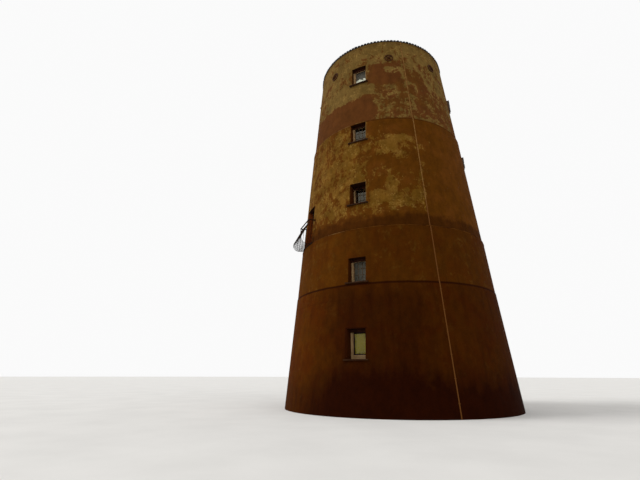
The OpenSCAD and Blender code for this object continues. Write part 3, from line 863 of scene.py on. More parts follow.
@dataclass(frozen=True)
class FloorFinish(Finish):
    """The studio's pale floor."""

    CLOUDS: ClassVar[Cloud] = Cloud(0.4, 4.0, 0.55)

    dim: Colour = tone(222, 220, 216)
    bright: Colour = tone(230, 228, 224)
    roughness: float = 0.9

    def paint(self, graph: Graph) -> None:
        """Mixes two near tones in broad clouds."""
        cloud = graph.step(graph.noise(graph.place(), self.CLOUDS), 0.2, 0.8)
        graph.surface(graph.mix(cloud, self.dim, self.bright), self.roughness)


class Look(Enum):
    """Every finish on the tower."""

    BASE = RenderFinish(
        "base_render",
        brown=tone(80, 41, 1),
        red_brown=tone(74, 33, 0),
        skin=tone(84, 47, 4),
        skin_olive=tone(82, 45, 3),
        dark=tone(34, 8, 0),
        skin_share=0.22,
        strokes=0.06,
        # Darker from -112 round to 30 degrees, painted shade; darker towards the bottom; darker between
        # -101.5 and -60 degrees below 5.1 m.
        damp_and_shade_zones=(
            Zone(-112, 30, -2.0, 6.5, 0.56, 1.3),
            belt(-2.0, 1.3, 0.55, 1.1),
            Zone(-101.5, -60, -2.0, 5.1, 0.20, 0.6),
        ),
        # Painted shadow at the first ledge, a faint line at 4.8 m, and a dark stripe beside the ground
        # window's left side and over its head.
        lines=(
            belt(5.415, 5.60, 0.85, 0.025),
            Zone(-136, -90, 4.78, 4.81, 0.25, 0.03),
            Zone(-95.2, -94.0, 2.22, 3.54, 0.7, 0.02),
            Zone(-95.2, -85.0, 3.49, 3.55, 0.7, 0.02),
        ),
    )
    LOWER = RenderFinish(
        "lower_render",
        brown=tone(81, 44, 3),
        red_brown=tone(76, 38, 2),
        skin=tone(90, 57, 12),
        skin_olive=tone(84, 50, 6),
        dark=tone(38, 12, 0),
        skin_share=0.24,
        strokes=0.10,
        # Darker from -97 round to 30 degrees, between 4 and 9.5 m.
        damp_and_shade_zones=(Zone(-97, 30, 4.0, 9.5, 0.34, 1.0),),
        # Painted shadow at the first and the second ledge.
        lines=(belt(5.3, 5.515, 0.75, 0.025), belt(8.165, 8.4, 0.4, 0.02)),
    )
    MIDDLE = RenderFinish(
        "middle_render",
        # Painted shade on this lift's jambs, and a lighter, redder painted shade on the balcony doorway's.
        jamb=tone(70, 27, 4),
        doorways=(Zone(-145, -123, 8.0, 10.6, 1.0, 0.02),),
        skin_zones=(
            Zone(-75, -65.5, 12.3, 13.15, 0.8, 0.1),
            Zone(-70, -53.7, 12.95, 13.35, 0.7, 0.08),
            Zone(-81, -68, 11.4, 12.2, -0.55, 0.12),
            Zone(-68, -54, 10.5, 12.0, -0.4, 0.14),
            Zone(-82, -75, 10.2, 10.9, -0.5, 0.1),
            Zone(-71, -66, 10.1, 11.0, 0.7, 0.1),
            Zone(-83, -54, 9.35, 10.15, 0.35, 0.14),
            Zone(-94, -84.5, 10.95, 11.2, 0.8, 0.07),
            Zone(-101, -90.5, 12.4, 13.0, 0.6, 0.12),
            Zone(-114, -106, 11.7, 12.3, 0.6, 0.14),
            Zone(-150, -97, 9.2, 14.3, 0.12, 0.2),
            Zone(-48, 12, 8.2, 14.5, -0.4, 0.3),
            Zone(-48, 34, 8.2, 14.5, -0.35, 1.0),
            Zone(-84, -13, 13.5, 14.5, -0.6, 0.12),
            belt(8.0, 8.85, -0.9, 0.15),
        ),
        level_strokes=(Zone(-68, -52, 10.5, 12.2, 1.0, 0.15), Zone(-80, -56, 8.8, 9.6, 1.0, 0.15)),
        damp_and_shade_zones=(belt(8.0, 8.78, 0.62, 0.2),),
        # Dark line at the third ledge, partly painted shadow and partly dirt lying on the ledge.
        lines=(Zone(-95, 200, 14.43, 14.7, 0.35, 0.02),),
    )
    UPPER = RenderFinish(
        "upper_render",
        brown=tone(86, 52, 17),
        red_brown=tone(84, 48, 19),
        skin=tone(111, 88, 43),
        skin_olive=tone(99, 78, 36),
        stroke=tone(136, 108, 56),
        skin_share=0.60,
        streaks=0.1,
        skin_zones=(
            Zone(-82, -56, 16.98, 18.6, -0.85, 0.2),
            Zone(-69.5, -55, 17.75, 18.3, 0.9, 0.12),
            Zone(-53.5, -38, 17.15, 18.1, -0.5, 0.2),
            Zone(-33, -8, 16.6, 18.3, 0.1, 0.2),
            Zone(-150, -79, 14.3, 16.25, -1.1, 0.1),
            Zone(-122, -79, 16.4, 17.4, 0.4, 0.15),
            Zone(-78, -13, 14.7, 17.0, -0.2, 0.2),
            belt(18.5, 20.4, 0.2, 0.25),
            Zone(-13, 214, 14.3, 15.6, -0.7, 0.2),
        ),
        red_zones=(Zone(-82, -56, 16.98, 18.6, 0.7, 0.2), Zone(-150, -79, 14.3, 16.25, 0.9, 0.1)),
        level_strokes=(Zone(-79, -20, 14.7, 17.2, 1.0, 0.15),),
        damp_and_shade_zones=(belt(20.05, 20.4, 0.3, 0.08),),
        # Dark line at the third ledge, partly painted shadow and partly dirt lying on the ledge.
        lines=(Zone(-85, 200, 14.3, 14.56, 0.45, 0.02),),
    )
    COPING = StoneFinish("coping_stone", fresh=tone(56, 55, 56), stained=tone(26, 27, 34))
    SLATE = StoneFinish("sill_slate", fresh=tone(52, 28, 9), stained=tone(34, 16, 5), relief=0.002)
    FLAGS = StoneFinish("floor_stone", fresh=tone(118, 112, 100), stained=tone(78, 72, 64), scale=2.0)
    FRAME_PAINT = PaintFinish(
        "frame_paint", paint_colour=tone(162, 130, 88), dirt_colour=tone(98, 68, 36))
    BAR_PAINT = PaintFinish(
        "bar_paint", paint_colour=tone(86, 64, 38), dirt_colour=tone(54, 36, 20), gloss=0.15)
    # Painted shade: the landing windows' paint darkened to stand for the shade on their faces.
    LANDING_PAINT = PaintFinish(
        "landing_paint", paint_colour=tone(66, 48, 30), dirt_colour=tone(40, 28, 18))
    # Dark paint on the balcony doors, darkened further as painted shade of the deep doorway.
    DOOR_PAINT = PaintFinish(
        "door_paint", paint_colour=tone(34, 30, 27), dirt_colour=tone(56, 44, 30), gloss=0.12)
    GLASS = GlassFinish("window_glass")
    BALCONY_IRON = MetalFinish(
        "balcony_iron", sound=tone(30, 15, 5), rust=tone(52, 25, 8), rusted=0.1, roughness=0.8, gloss=0.05)
    TIE_IRON = MetalFinish(
        "tie_iron", sound=tone(44, 22, 8), rust=tone(66, 36, 14), rusted=0.6, roughness=0.85, gloss=0.1)
    STRIP = MetalFinish(
        "conductor_strip", sound=tone(124, 88, 42), rust=tone(100, 66, 28), rusted=0.4, roughness=0.8,
        gloss=0.1, dull_level=9.4)
    BOARDS = TimberFinish("floor_timber", along=(1.0, 0.06, 1.0), board=0.17)
    DOOR_TIMBER = TimberFinish("entrance_timber", pale=tone(92, 60, 34), deep=tone(52, 32, 18))
    ROOF = RoofFinish("roof_asphalt")
    MORTAR = StoneFinish("coping_mortar", fresh=tone(70, 62, 50), stained=tone(36, 32, 28), scale=9.0)
    MARGIN = StoneFinish(
        "window_plaster", fresh=tone(118, 88, 46), stained=tone(84, 56, 22), scale=5.0, gloss=0.03)
    NOSE = StoneFinish(
        "ledge_plaster", fresh=tone(84, 48, 10), stained=tone(56, 25, 3), scale=1.6, gloss=0.03)
    # Painted highlight: light catching the ledges' arrises, drawn as a paler plaster.
    BARE_NOSE = StoneFinish(
        "highlight_plaster", fresh=tone(112, 80, 42), stained=tone(80, 48, 18), scale=2.6, gloss=0.03)
    # Painted shade: a dark board colour standing for the shade under each window's head.
    HEAD_BOARD = StoneFinish("head_shade_board", fresh=tone(58, 27, 14), stained=tone(38, 15, 6), scale=4.0)
    # Partly the dark gasket colour, partly painted shadow in the gaps round panes and sashes.
    GASKET = MetalFinish("glazing_gasket_and_shade", sound=tone(30, 17, 8), rust=tone(40, 22, 10), roughness=0.7)
    BLIND = PaintFinish(
        "blind_cloth", paint_colour=tone(242, 222, 62), dirt_colour=tone(220, 196, 48), roughness=0.9,
        gloss=0.05)
    LEAD = RoofFinish("lead_sheet", sheet=tone(84, 86, 90), dust=tone(110, 108, 104))

    @property
    def slot(self) -> str:
        """The record's material slot that the finish belongs to."""
        return SLOT_OF_EXTRA.get(self.value.name, self.value.name)

    def on(self, thing: bpy.types.Object) -> None:
        """Puts the finish on an object, in place of what it has."""
        thing.data.materials.clear()
        thing.data.materials.append(self.value.material())


LOOK_OF_SLOT = {look.value.name: look for look in Look}
SLOT_OF_EXTRA = {
    "coping_mortar": "coping_stone",
    "window_plaster": "upper_render",
    "ledge_plaster": "middle_render",
    "highlight_plaster": "middle_render",
    "head_shade_board": "frame_paint",
    "bar_paint": "frame_paint",
    "glazing_gasket_and_shade": "frame_paint",
    "blind_cloth": "frame_paint",
    "lead_sheet": "roof_asphalt",
}


def column(angle: float) -> Matrix:
    """Turns what faces +X to an angle round the tower, in degrees."""
    return Matrix.Rotation(math.radians(angle), 4, "Z")


def about(middle: float, half: float) -> Span:
    """Makes a span that reaches as far to both sides of its middle."""
    return (middle - half, middle + half)


@dataclass(frozen=True)
class Wear:
    """How far a surface is worn in and out, in metres, with its bumps per metre and the pattern's seed."""

    amount: float
    scale: float
    seed: float = 0.0


@dataclass
class Work:
    """A piece in the making: its mesh, and the place that its next block, bar or bolt is made at.

    A place looks along +X out of the wall, with +Y across the column and +Z up.
    """

    WASHER_HEIGHT: ClassVar[float] = 0.25
    WASHER_FOOT: ClassVar[float] = 1.6
    WASHER_HEAD: ClassVar[float] = 1.5
    BOLT_TAPER: ClassVar[float] = 0.94

    place: Matrix = field(default_factory=Matrix)
    mesh: bmesh.types.BMesh = field(default_factory=bmesh.new)

    def box(self, out: Span, across: Span, rise: Span) -> list[bmesh.types.BMVert]:
        """Adds a block with sharp edges.

        Args:
            out: Where it starts and ends along X, in either order, as are the other two.
            across: Where it starts and ends along Y.
            rise: Where it starts and ends along Z.

        Returns:
            Its corners.
        """
        low, high = (Vector(corner) for corner in zip(*(sorted(span) for span in (out, across, rise))))
        matrix = self.place @ Matrix.Translation((high + low) / 2) @ Matrix.Diagonal((*(high - low), 1.0))
        return bmesh.ops.create_cube(self.mesh, size=1.0, matrix=matrix)["verts"]

    def soften(self, verts: Sequence[bmesh.types.BMVert], width: float, segments: int = 2,
               profile: float = 0.5) -> None:
        """Rounds every edge at some corners.

        Args:
            verts: The corners.
            width: Width of the rounded edges.
            segments: Facets across a rounded edge.
            profile: How full the edges are. A half is round.
        """
        edges = list({edge for vert in verts for edge in vert.link_edges})
        bmesh.ops.bevel(self.mesh, geom=edges, offset=width, segments=segments, profile=profile,
                        affect="EDGES", material=-1, clamp_overlap=True)

    def block(self, out: Span, across: Span, rise: Span, bevel: float, segments: int = 2) -> None:
        """Adds a block with rounded edges.

        Args:
            out: Where it starts and ends along X, in either order, as are the other two.
            across: Where it starts and ends along Y.
            rise: Where it starts and ends along Z.
            bevel: Width of its rounded edges.
            segments: Facets across a rounded edge.
        """
        self.soften(self.box(out, across, rise), bevel, segments)

    def rod(self, start: Sequence[float], end: Sequence[float], radius: float, sides: int = 12,
            tip: float | None = None) -> None:
        """Adds a round bar between two points.

        Args:
            start: Middle of its first end.
            end: Middle of its last end.
            radius: Its radius.
            sides: Its facets.
            tip: Radius at the last end, if it tapers.
        """
        along = Vector(end) - Vector(start)
        turn = along.to_track_quat("Z", "Y").to_matrix().to_4x4()
        matrix = self.place @ Matrix.Translation((Vector(start) + Vector(end)) / 2) @ turn
        bmesh.ops.create_cone(self.mesh, cap_ends=True, segments=sides, radius1=radius,
                              radius2=radius if tip is None else tip, depth=along.length, matrix=matrix)

    def bolt(self, seat: Sequence[float], size: float) -> None:
        """Adds a hexagon bolt head on its washer, which looks out of the wall.

        Args:
            seat: Middle of what the washer lies on.
            size: Radius of the head over its corners, and its height.
        """
        foot, out = Vector(seat), Vector((size, 0.0, 0.0))
        washer = foot + out * self.WASHER_HEIGHT
        self.rod(foot, washer, size * self.WASHER_FOOT, 16, size * self.WASHER_HEAD)
        self.rod(washer, foot + out, size, 6, size * self.BOLT_TAPER)

    def outline(self, points: Iterable[Vector]) -> tuple[list[bmesh.types.BMVert], list[bmesh.types.BMEdge]]:
        """Adds a closed line through some points and gives back its corners and edges."""
        corners = [self.mesh.verts.new(point) for point in points]
        edges = [self.mesh.edges.new((corners[index - 1], corners[index])) for index in range(len(corners))]
        return corners, edges

    def sweep(self, section: Section, stations: Sequence[Matrix]) -> None:
        """Draws a closed section along a row of stations and closes its ends.

        Args:
            section: Corners of the section, in the stations' XY plane.
            stations: Where it goes, set from the piece's place.
        """
        stations = [self.place @ station for station in stations]
        corners, first = self.outline(stations[0] @ Vector((x, y, 0.0)) for x, y in section)
        ring = first
        for before, here in zip(stations, stations[1:]):
            pulled = bmesh.ops.extrude_edge_only(self.mesh, edges=ring)["geom"]
            verts = [part for part in pulled if isinstance(part, bmesh.types.BMVert)]
            ring = [part for part in pulled if isinstance(part, bmesh.types.BMEdge)]
            bmesh.ops.transform(self.mesh, matrix=here @ before.inverted(), verts=verts)
        bmesh.ops.holes_fill(self.mesh, edges=first + ring, sides=len(corners))

    def lathe(self, section: Section, origin: tuple[float, float], steps: int, start: float = 0.0,
              end: float = 360.0) -> None:
        """Turns a closed section round the tower's axis, and closes its ends short of a full turn.

        Args:
            section: Corners of the section, out and up from its origin.
            origin: Its distance from the axis and its level.
            steps: Facets round the turn.
            start: Angle at which it starts, in degrees.
            end: Angle at which it ends, in degrees.
        """
        turn, whole = column(start), end - start >= Zone.ALL_ROUND
        reach, level = origin
        corners, first = self.outline(
            turn @ Vector((reach + out, 0.0, level + rise)) for out, rise in section)
        spun = bmesh.ops.spin(self.mesh, geom=corners + first, cent=(0.0, 0.0, 0.0), axis=(0.0, 0.0, 1.0),
                              angle=math.radians(end - start), steps=steps, use_merge=whole)
        if not whole:
            last = [part for part in spun["geom_last"] if isinstance(part, bmesh.types.BMEdge)]
            bmesh.ops.holes_fill(self.mesh, edges=first + last, sides=len(corners))

    def roughen(self, wear: Wear) -> None:
        """Pushes points in and out by a smooth random pattern.

        Args:
            wear: How far, how finely and with which pattern.
        """
        self.mesh.normal_update()
        shift = Vector((wear.seed, wear.seed * 0.7, -wear.seed))
        for vert in self.mesh.verts:
            vert.co += vert.normal * wear.amount * noise.noise(vert.co * wear.scale + shift)


@dataclass(frozen=True)
class GlazingBars:
    """Glazing bars on both faces of a pane."""

    width: float = 0.02
    depth: float = 0.014
    bevel: float = 0.004
    glass: float = 0.006

    def lay(self, work: Work, pane: float, box: tuple[float, float, float], lights: int) -> None:
        """Lays level and upright bars.

        Args:
            work: The piece that they go into.
            pane: Distance of the pane's outer face from the axis.
            box: Half the pane's width, its foot and its head.
            lights: Number of lights each way.
        """
        half, foot, head = box
        for back in (pane, pane - self.glass - self.depth):
            out = (back, back + self.depth)
            for share in (step / lights for step in range(1, lights)):
                level, across = foot + (head - foot) * share, half * (2 * share - 1)
                work.block(out, about(0.0, half), about(level, self.width / 2), self.bevel)
                work.block(out, about(across, self.width / 2), (foot, head), self.bevel)


@dataclass
class Assembly:
    """A group of pieces that are made and dressed together."""

    CREASE: ClassVar[float] = 32.0
    SHARP_CREASE: ClassVar[float] = 60.0
    MERGE: ClassVar[float] = 1e-5

    form: TowerForm

    def piece(self, name: str, work: Work, look: Look, replaces: Sequence[str] = (),
              crease: float = CREASE, tidy: bool = True) -> bpy.types.Object:
        """Turns finished work into a piece that rides on the tower.

        Args:
            name: The piece's name.
            work: The work, whose mesh is used up.
            look: Its finish.
            replaces: CAD nodes that it stands for.
            crease: Edges sharper than this many degrees stay sharp.
            tidy: Whether doubles are merged and normals turned outwards.

        Returns:
            The piece.
        """
        shape = work.mesh
        if tidy:
            bmesh.ops.remove_doubles(shape, verts=shape.verts, dist=self.MERGE)
            bmesh.ops.recalc_face_normals(shape, faces=shape.faces)
        mesh = bpy.data.meshes.new(name)
        shape.to_mesh(mesh)
        shape.free()
        mesh.shade_smooth()
        mesh.set_sharp_from_angle(angle=math.radians(crease))
        made = bpy.data.objects.new(name, mesh)
        bpy.context.scene.collection.objects.link(made)
        look.on(made)
        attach(made, "root")
        if replaces:
            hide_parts(*replaces)
        mesh.calc_loop_triangles()
        LOG.info("piece %s, %d triangles", name, len(mesh.loop_triangles))
        return made


@dataclass
class Coping(Assembly):
    """Stones on edge round the wall's head, bedded in mortar."""

    STONE_WEAR: ClassVar[Wear] = Wear(0.004, 22.0)
    BED_WEAR: ClassVar[Wear] = Wear(0.003, 30.0)

    stones: int = 126
    height: float = 0.09
    height_spread: float = 0.012
    joint: float = 0.065
    joint_spread: Span = (0.8, 1.1)
    front_spread: float = 0.014
    overhang: float = 0.045
    inner_lip: float = 0.03
    bevel: float = 0.009
    bevel_spread: Span = (0.7, 1.3)
    bevel_profile: float = 0.6
    bed_set_back: float = 0.03
    bed_drop: float = 0.012
    bed_front_drop: float = 0.045
    bed_slope: float = 0.09
    bed_steps: int = 4
    crease: float = 50.0
    seed: int = 11

    def stone_row(self, work: Work, foot: float, inner: float, outer: float) -> None:
        """Sets every stone, each a little different.

        Args:
            work: The piece that they go into.
            foot: Level of their feet.
            inner: Distance of their backs from the axis.
            outer: Distance of their fronts from the axis.
        """
        chance = random.Random(self.seed)
        pitch = 2 * math.pi / self.stones
        for index in range(self.stones):
            middle = (index + 0.5) * pitch
            wide = pitch - self.joint / outer * chance.uniform(*self.joint_spread)
            head = self.height - chance.uniform(0.0, self.height_spread)
            front = outer - chance.uniform(0.0, self.front_spread)
            verts = work.box((inner, front), about(0.0, 0.5), (0.0, head))
            for vert in verts:
                reach, turn, level = vert.co.x, middle + vert.co.y * wide, foot + vert.co.z
                vert.co = Vector((reach * math.cos(turn), reach * math.sin(turn), level))
            work.soften(verts, self.bevel * chance.uniform(*self.bevel_spread), profile=self.bevel_profile)

    def bed(self, work: Work, foot: float, inner: float, outer: float) -> None:
        """Fills the joints behind the stones' fronts with mortar.

        Args:
            work: The piece that it goes into.
            foot: Level of the stones' feet.
            inner: Distance of their backs from the axis.
            outer: Distance of their fronts from the axis.
        """
        back, front, head = inner + self.bed_drop, outer - self.bed_set_back, self.height - self.bed_drop
        section = ((back, 0.0), (front, 0.0), (front, self.height - self.bed_front_drop),
                   (front - self.bed_slope, head), (back, head))
        work.lathe(section, (0.0, foot), self.bed_steps * self.stones)

    def build(self) -> None:
        """Makes the stones and their bed."""
        foot = self.form.height - self.height
        inner = self.form.inner(foot) - self.inner_lip
        outer = self.form.batter(foot) + self.overhang
        stones, bed = Work(), Work()
        self.stone_row(stones, foot, inner, outer)
        stones.roughen(self.STONE_WEAR)
        self.piece("coping_stones", stones, Look.COPING, replaces=("coping",), crease=self.crease)
        self.bed(bed, foot, inner, outer)
        bed.roughen(self.BED_WEAR)
        self.piece("coping_bed", bed, Look.MORTAR)


@dataclass(frozen=True)
class Storey:
    """One storey's windows: their opening, and what sets them apart from the other storeys'."""

    foot: float
    height: float
    barred: bool = True
    margin: bool = True
    # Width of a dark bead round the pane, standing for shade.
    bead: float = 0.0
    bead_lap: float = 0.0
    foot_rail: float = 0.13
    head_rail: float = 0.13
    # Height of the dark board that stands for the shade under the head.
    head_shade_board: float = 0.115

    @property
    def head(self) -> float:
        """Level at which the opening ends."""
        return self.foot + self.height


GROUND_STOREY = Storey(2.235, 1.265, barred=False, margin=False, bead=0.06, bead_lap=0.01, foot_rail=0.19,
                       head_rail=0.135, head_shade_board=0.135)
UPPER_STOREYS = (
    Storey(5.58, 1.17, margin=False, bead=0.012, bead_lap=0.012),
    Storey(9.58, 1.17, bead=0.03, bead_lap=0.03),
    Storey(13.33, 1.17, bead=0.016, bead_lap=0.016),
    Storey(17.37, 1.24, barred=False),
)
WINDOWS = (
    (-90.0, GROUND_STOREY),
    *((angle, storey) for angle in (-90.0, 90.0) for storey in UPPER_STOREYS),
)


@dataclass(frozen=True)
class Strip:
    """A strip that is laid round a pane: its width, its depth and its rounded edges."""

    width: float
    depth: float
    bevel: float

    def ring(self, work: Work, box: tuple[float, float, float], front: float) -> None:
        """Lays four strips in a rectangle that stands across the column.

        Args:
            work: The piece that they go into.
            box: Half the rectangle's width, its foot and its head.
            front: Distance of the strips' front from the axis.
        """
        half, foot, head = box
        out, inside = (front - self.depth, front), half - self.width
        for side in (-1, 1):
            work.block(out, (side * inside, side * half), (foot, head), self.bevel, 1)
        for low in (foot, head - self.width):
            work.block(out, about(0.0, inside), (low, low + self.width), self.bevel, 1)


@dataclass
class Windows(Assembly):
    """What the windows carry beyond their frames: bars, dark beads and lines that are partly painted shade,
    plaster margins, and dark boards that are painted shade under the heads.
    """

    GASKET: ClassVar[Strip] = Strip(0.011, 0.008, 0.002)
    SASH_LINE: ClassVar[Strip] = Strip(0.007, 0.004, 0.001)
    BARS: ClassVar[GlazingBars] = GlazingBars()
    LIGHTS: ClassVar[int] = 3
    MARGIN: ClassVar[Section] = (
        (0.0, -0.004), (0.015, -0.006), (0.03, -0.004), (0.027, 0.003), (0.015, 0.004), (0.002, 0.004))
    MARGIN_WEAR: ClassVar[Wear] = Wear(0.003, 9.0, 3.0)
    BOARD_WEAR: ClassVar[Wear] = Wear(0.002, 14.0)
    RAIL_WEAR: ClassVar[Wear] = Wear(0.001, 14.0)

    width: float = 0.86
    frame: float = 0.085
    sash: float = 0.045
    set_back: float = 0.03
    sash_depth: float = 0.045
    glass: float = 0.006
    bead_depth: float = 0.006
    bead_bevel: float = 0.002
    margin_crease: float = 45.0
    margin_steps: int = 12
    head_margin_steps: int = 6
    head_margin_back: int = 2
    board_depth: float = 0.024
    board_bevel: float = 0.005
    rail_set_back: float = 0.004
    rail_bevel: float = 0.008
    gap: float = 0.002
    seat: float = 0.001

    def border(self) -> float:
        """Width of frame and sash together."""
        return self.frame + self.sash

    def frame_face(self, storey: Storey) -> float:
        """Distance of a frame's outer face from the axis."""
        return self.form.frame_face(storey.foot, storey.height)

    def pane_face(self, storey: Storey) -> float:
        """Distance of a pane's outer face from the axis."""
        return self.frame_face(storey) - self.set_back - (self.sash_depth - self.glass) / 2

    def inset(self, storey: Storey, rim: float) -> tuple[float, float, float]:
        """Half the width, the foot and the head of an opening, less a rim all round."""
        return (self.width / 2 - rim, storey.foot + rim, storey.head - rim)

    def bars(self) -> None:
        """Makes three by three lights in the middle storeys' windows."""
        work = Work()
        for angle, storey in WINDOWS:
            if storey.barred:
                work.place = column(angle)
                self.BARS.lay(work, self.pane_face(storey), self.inset(storey, self.border()), self.LIGHTS)
        self.piece("window_bars", work, Look.BAR_PAINT, crease=self.SHARP_CREASE)

    def gaskets_and_shade(self) -> None:
        """Makes the dark lines round the panes and round the sashes, partly the dark gasket and partly
        painted shadow in the gaps, and dark beads that stand for shade beside the panes.
        """
        work = Work()
        for angle, storey in WINDOWS:
            work.place = column(angle)
            self.GASKET.ring(work, self.inset(storey, self.border()),
                             self.pane_face(storey) + self.GASKET.depth)
            sash_front = self.frame_face(storey) - self.set_back + self.SASH_LINE.depth
            self.SASH_LINE.ring(work, self.inset(storey, self.frame), sash_front)
            # Painted shade: a dark bead round the pane where the storey has one.
            if storey.bead > 0:
                lap = storey.bead_lap
                box = (self.width / 2 - self.border() + lap, storey.foot + storey.foot_rail - lap,
                       storey.head - storey.head_rail + lap)
                Strip(storey.bead, self.bead_depth, self.bead_bevel).ring(work, box, sash_front + self.seat)
        self.piece("window_gaskets_and_shade", work, Look.GASKET, crease=self.SHARP_CREASE)

    def margins(self) -> None:
        """Makes the worn plaster margins beside and over the openings on the wall's face."""
        work = Work()
        half, steps = self.width / 2, self.margin_steps
        for angle, storey in WINDOWS:
            if storey.margin:
                jamb = [(half, storey.foot + storey.height * step / steps) for step in range(steps + 1)]
                head = [(half * step / self.head_margin_steps, storey.head)
                        for step in range(-self.head_margin_back, self.head_margin_steps + 1)]
                for spots, aside in ((jamb, (0.0, 1.0, 0.0)), (head, (0.0, 0.0, 1.0))):
                    work.sweep(self.MARGIN, self.stations(angle, spots, Vector(aside)))
        work.roughen(self.MARGIN_WEAR)
        self.piece("window_margins", work, Look.MARGIN, crease=self.margin_crease)

    def stations(self, angle: float, spots: Iterable[Span], aside: Vector) -> list[Matrix]:
        """Sets a section on the wall's face at each spot.

        Args:
            angle: The column's angle, in degrees.
            spots: Distance from the column's middle, and level, of each spot.
            aside: Where the section's X points. Its Y points out of the wall.

        Returns:
            The stations.
        """
        outward = Vector((1.0, 0.0, 0.0))
        axes = Matrix((aside, outward, aside.cross(outward))).transposed().to_4x4()
        return [column(angle) @ Matrix.Translation((self.form.reach(level, across), across, level)) @ axes
                for across, level in spots]

    def head_shade_boards(self) -> None:
        """Fixes the dark board under each window's lintel, in front of the frame's head, as painted shade
        under the head, and weathers its surface.
        """
        work = Work()
        for angle, storey in WINDOWS:
            work.place = column(angle)
            face = self.frame_face(storey)
            work.block((face + self.seat, face + self.board_depth), about(0.0, self.width / 2 - self.gap),
                       (storey.head - storey.head_shade_board, storey.head - self.gap), self.board_bevel)
        work.roughen(self.BOARD_WEAR)
        self.piece("window_head_shade_boards", work, Look.HEAD_BOARD)

    def foot_board(self) -> None:
        """Fixes the deep weathered rail at the foot of the ground storey's window."""
        angle, storey = WINDOWS[0]
        work = Work(column(angle))
        face = self.frame_face(storey)
        work.block((face - self.set_back + self.seat, face - self.rail_set_back),
                   about(0.0, self.width / 2 - self.frame - self.gap),
                   (storey.foot + self.frame + self.seat, storey.foot + storey.foot_rail), self.rail_bevel)
        work.roughen(self.RAIL_WEAR)
        self.piece("window_foot_rail", work, Look.FRAME_PAINT)

    def build(self) -> None:
        """Makes everything that the windows carry."""
        self.bars()
        self.gaskets_and_shade()
        self.margins()
        self.head_shade_boards()
        self.foot_board()


@dataclass
class RollerBlind(Assembly):
    """The ground storey's roller blind, behind the window."""

    width: float = 0.74
    drop: float = 1.12
    set_back: float = 0.145
    head_gap: float = 0.045
    roller: float = 0.019
    roller_sides: int = 24
    overhang: float = 0.02
    bracket: float = 0.004
    bracket_gap: float = 0.006
    bracket_rise: float = 0.028
    bracket_depth: Span = (-0.022, 0.036)
    bracket_bevel: float = 0.002
    bar_depth: Span = (-0.023, -0.015)
    bar_rise: Span = (-0.012, 0.014)
    bar_bevel: float = 0.003
    swell: float = 0.004
    columns: int = 24
    rows: int = 48

    def hardware(self, head: float) -> bpy.types.Object:
        """Makes the roller, its brackets and the cloth's bottom bar.

        Args:
            head: Level of the roller's middle.

        Returns:
            The piece that the cloth hangs on.
        """
        angle, storey = WINDOWS[0]
        back = self.form.frame_face(storey.foot, storey.height) - self.set_back
        work = Work(column(angle) @ Matrix.Translation((back, 0.0, head)))
        half = self.width / 2
        end = half + self.overhang
        work.rod((0.0, -end, 0.0), (0.0, end, 0.0), self.roller, self.roller_sides)
        for side in (-1, 1):
            work.block(self.bracket_depth, about(side * (end + self.bracket_gap), self.bracket),
                       about(0.0, self.bracket_rise), self.bracket_bevel)
        low, high = self.bar_rise
        work.block(self.bar_depth, about(0.0, half), (low - self.drop, high - self.drop), self.bar_bevel)
        return self.piece("blind_roller", work, Look.FRAME_PAINT)

    def cloth(self, head: float, roller: bpy.types.Object) -> None:
        """Hangs the cloth behind the roller, hardly swelling.

        Args:
            head: Level of the roller's middle.
            roller: The piece that the cloth hangs on; not used.
        """
        angle, storey = WINDOWS[0]
        back = self.form.frame_face(storey.foot, storey.height) - self.set_back - self.roller
        work = Work()
        bmesh.ops.create_grid(work.mesh, x_segments=self.columns, y_segments=self.rows, size=0.5)
        for vert in work.mesh.verts:
            across, down = vert.co.x * self.width, (vert.co.y + 0.5) * self.drop
            swell = self.swell * noise.noise(Vector((across * 3, down * 2, 1.0)))
            vert.co = column(angle) @ Vector((back + swell, across, head - self.drop + down))
        cloth = self.piece("ground_blind", work, Look.BLIND, tidy=False)

    def build(self) -> None:
        """Makes the roller and its cloth."""
        head = GROUND_STOREY.head - self.head_gap
        self.cloth(head, self.hardware(head))


@dataclass
class Ledges(Assembly):
    """Worn noses on the two ledges between the render lifts, with a painted highlight along some stretches.
    """

    NOSE: ClassVar[Section] = (
        (-0.035, -0.002), (0.013, -0.030), (0.029, -0.028), (0.035, -0.014), (0.033, 0.002),
        (0.021, 0.012), (-0.035, 0.034))
    WEARS: ClassVar[tuple[Wear, ...]] = (Wear(0.010, 4.0, 5.0), Wear(0.004, 17.0, 9.0))

    lower_coated: tuple[Span, ...] = ((-123.0, -109.0), (-97.5, -55.6), (-53.2, 215.0))
    # Stretch with the painted highlight.
    lower_highlighted: tuple[Span, ...] = ((-109.0, -97.5),)
    upper_coated: tuple[Span, ...] = ((-96.0, -55.4), (-53.0, 190.0))
    # Stretch with the painted highlight.
    upper_highlighted: tuple[Span, ...] = ((190.0, 264.0),)
    steps_per_degree: float = 1.2
    least_steps: int = 4

    def build(self) -> None:
        """Makes the noses, broken at the strip and at the balcony."""
        _, low, high = self.form.ledges
        rows = (
            ("ledge_noses", Look.NOSE, ((low, self.lower_coated), (high, self.upper_coated))),
            ("highlighted_ledge_noses", Look.BARE_NOSE, ((low, self.lower_highlighted), (high, self.upper_highlighted))),
        )
        for name, look, levels in rows:
            work = Work()
            for level, stretches in levels:
                for start, end in stretches:
                    steps = max(self.least_steps, round((end - start) * self.steps_per_degree))
                    work.lathe(self.NOSE, (self.form.batter(level), level), steps, start, end)
            for wear in self.WEARS:
                work.roughen(wear)
            self.piece(name, work, look, crease=self.SHARP_CREASE)


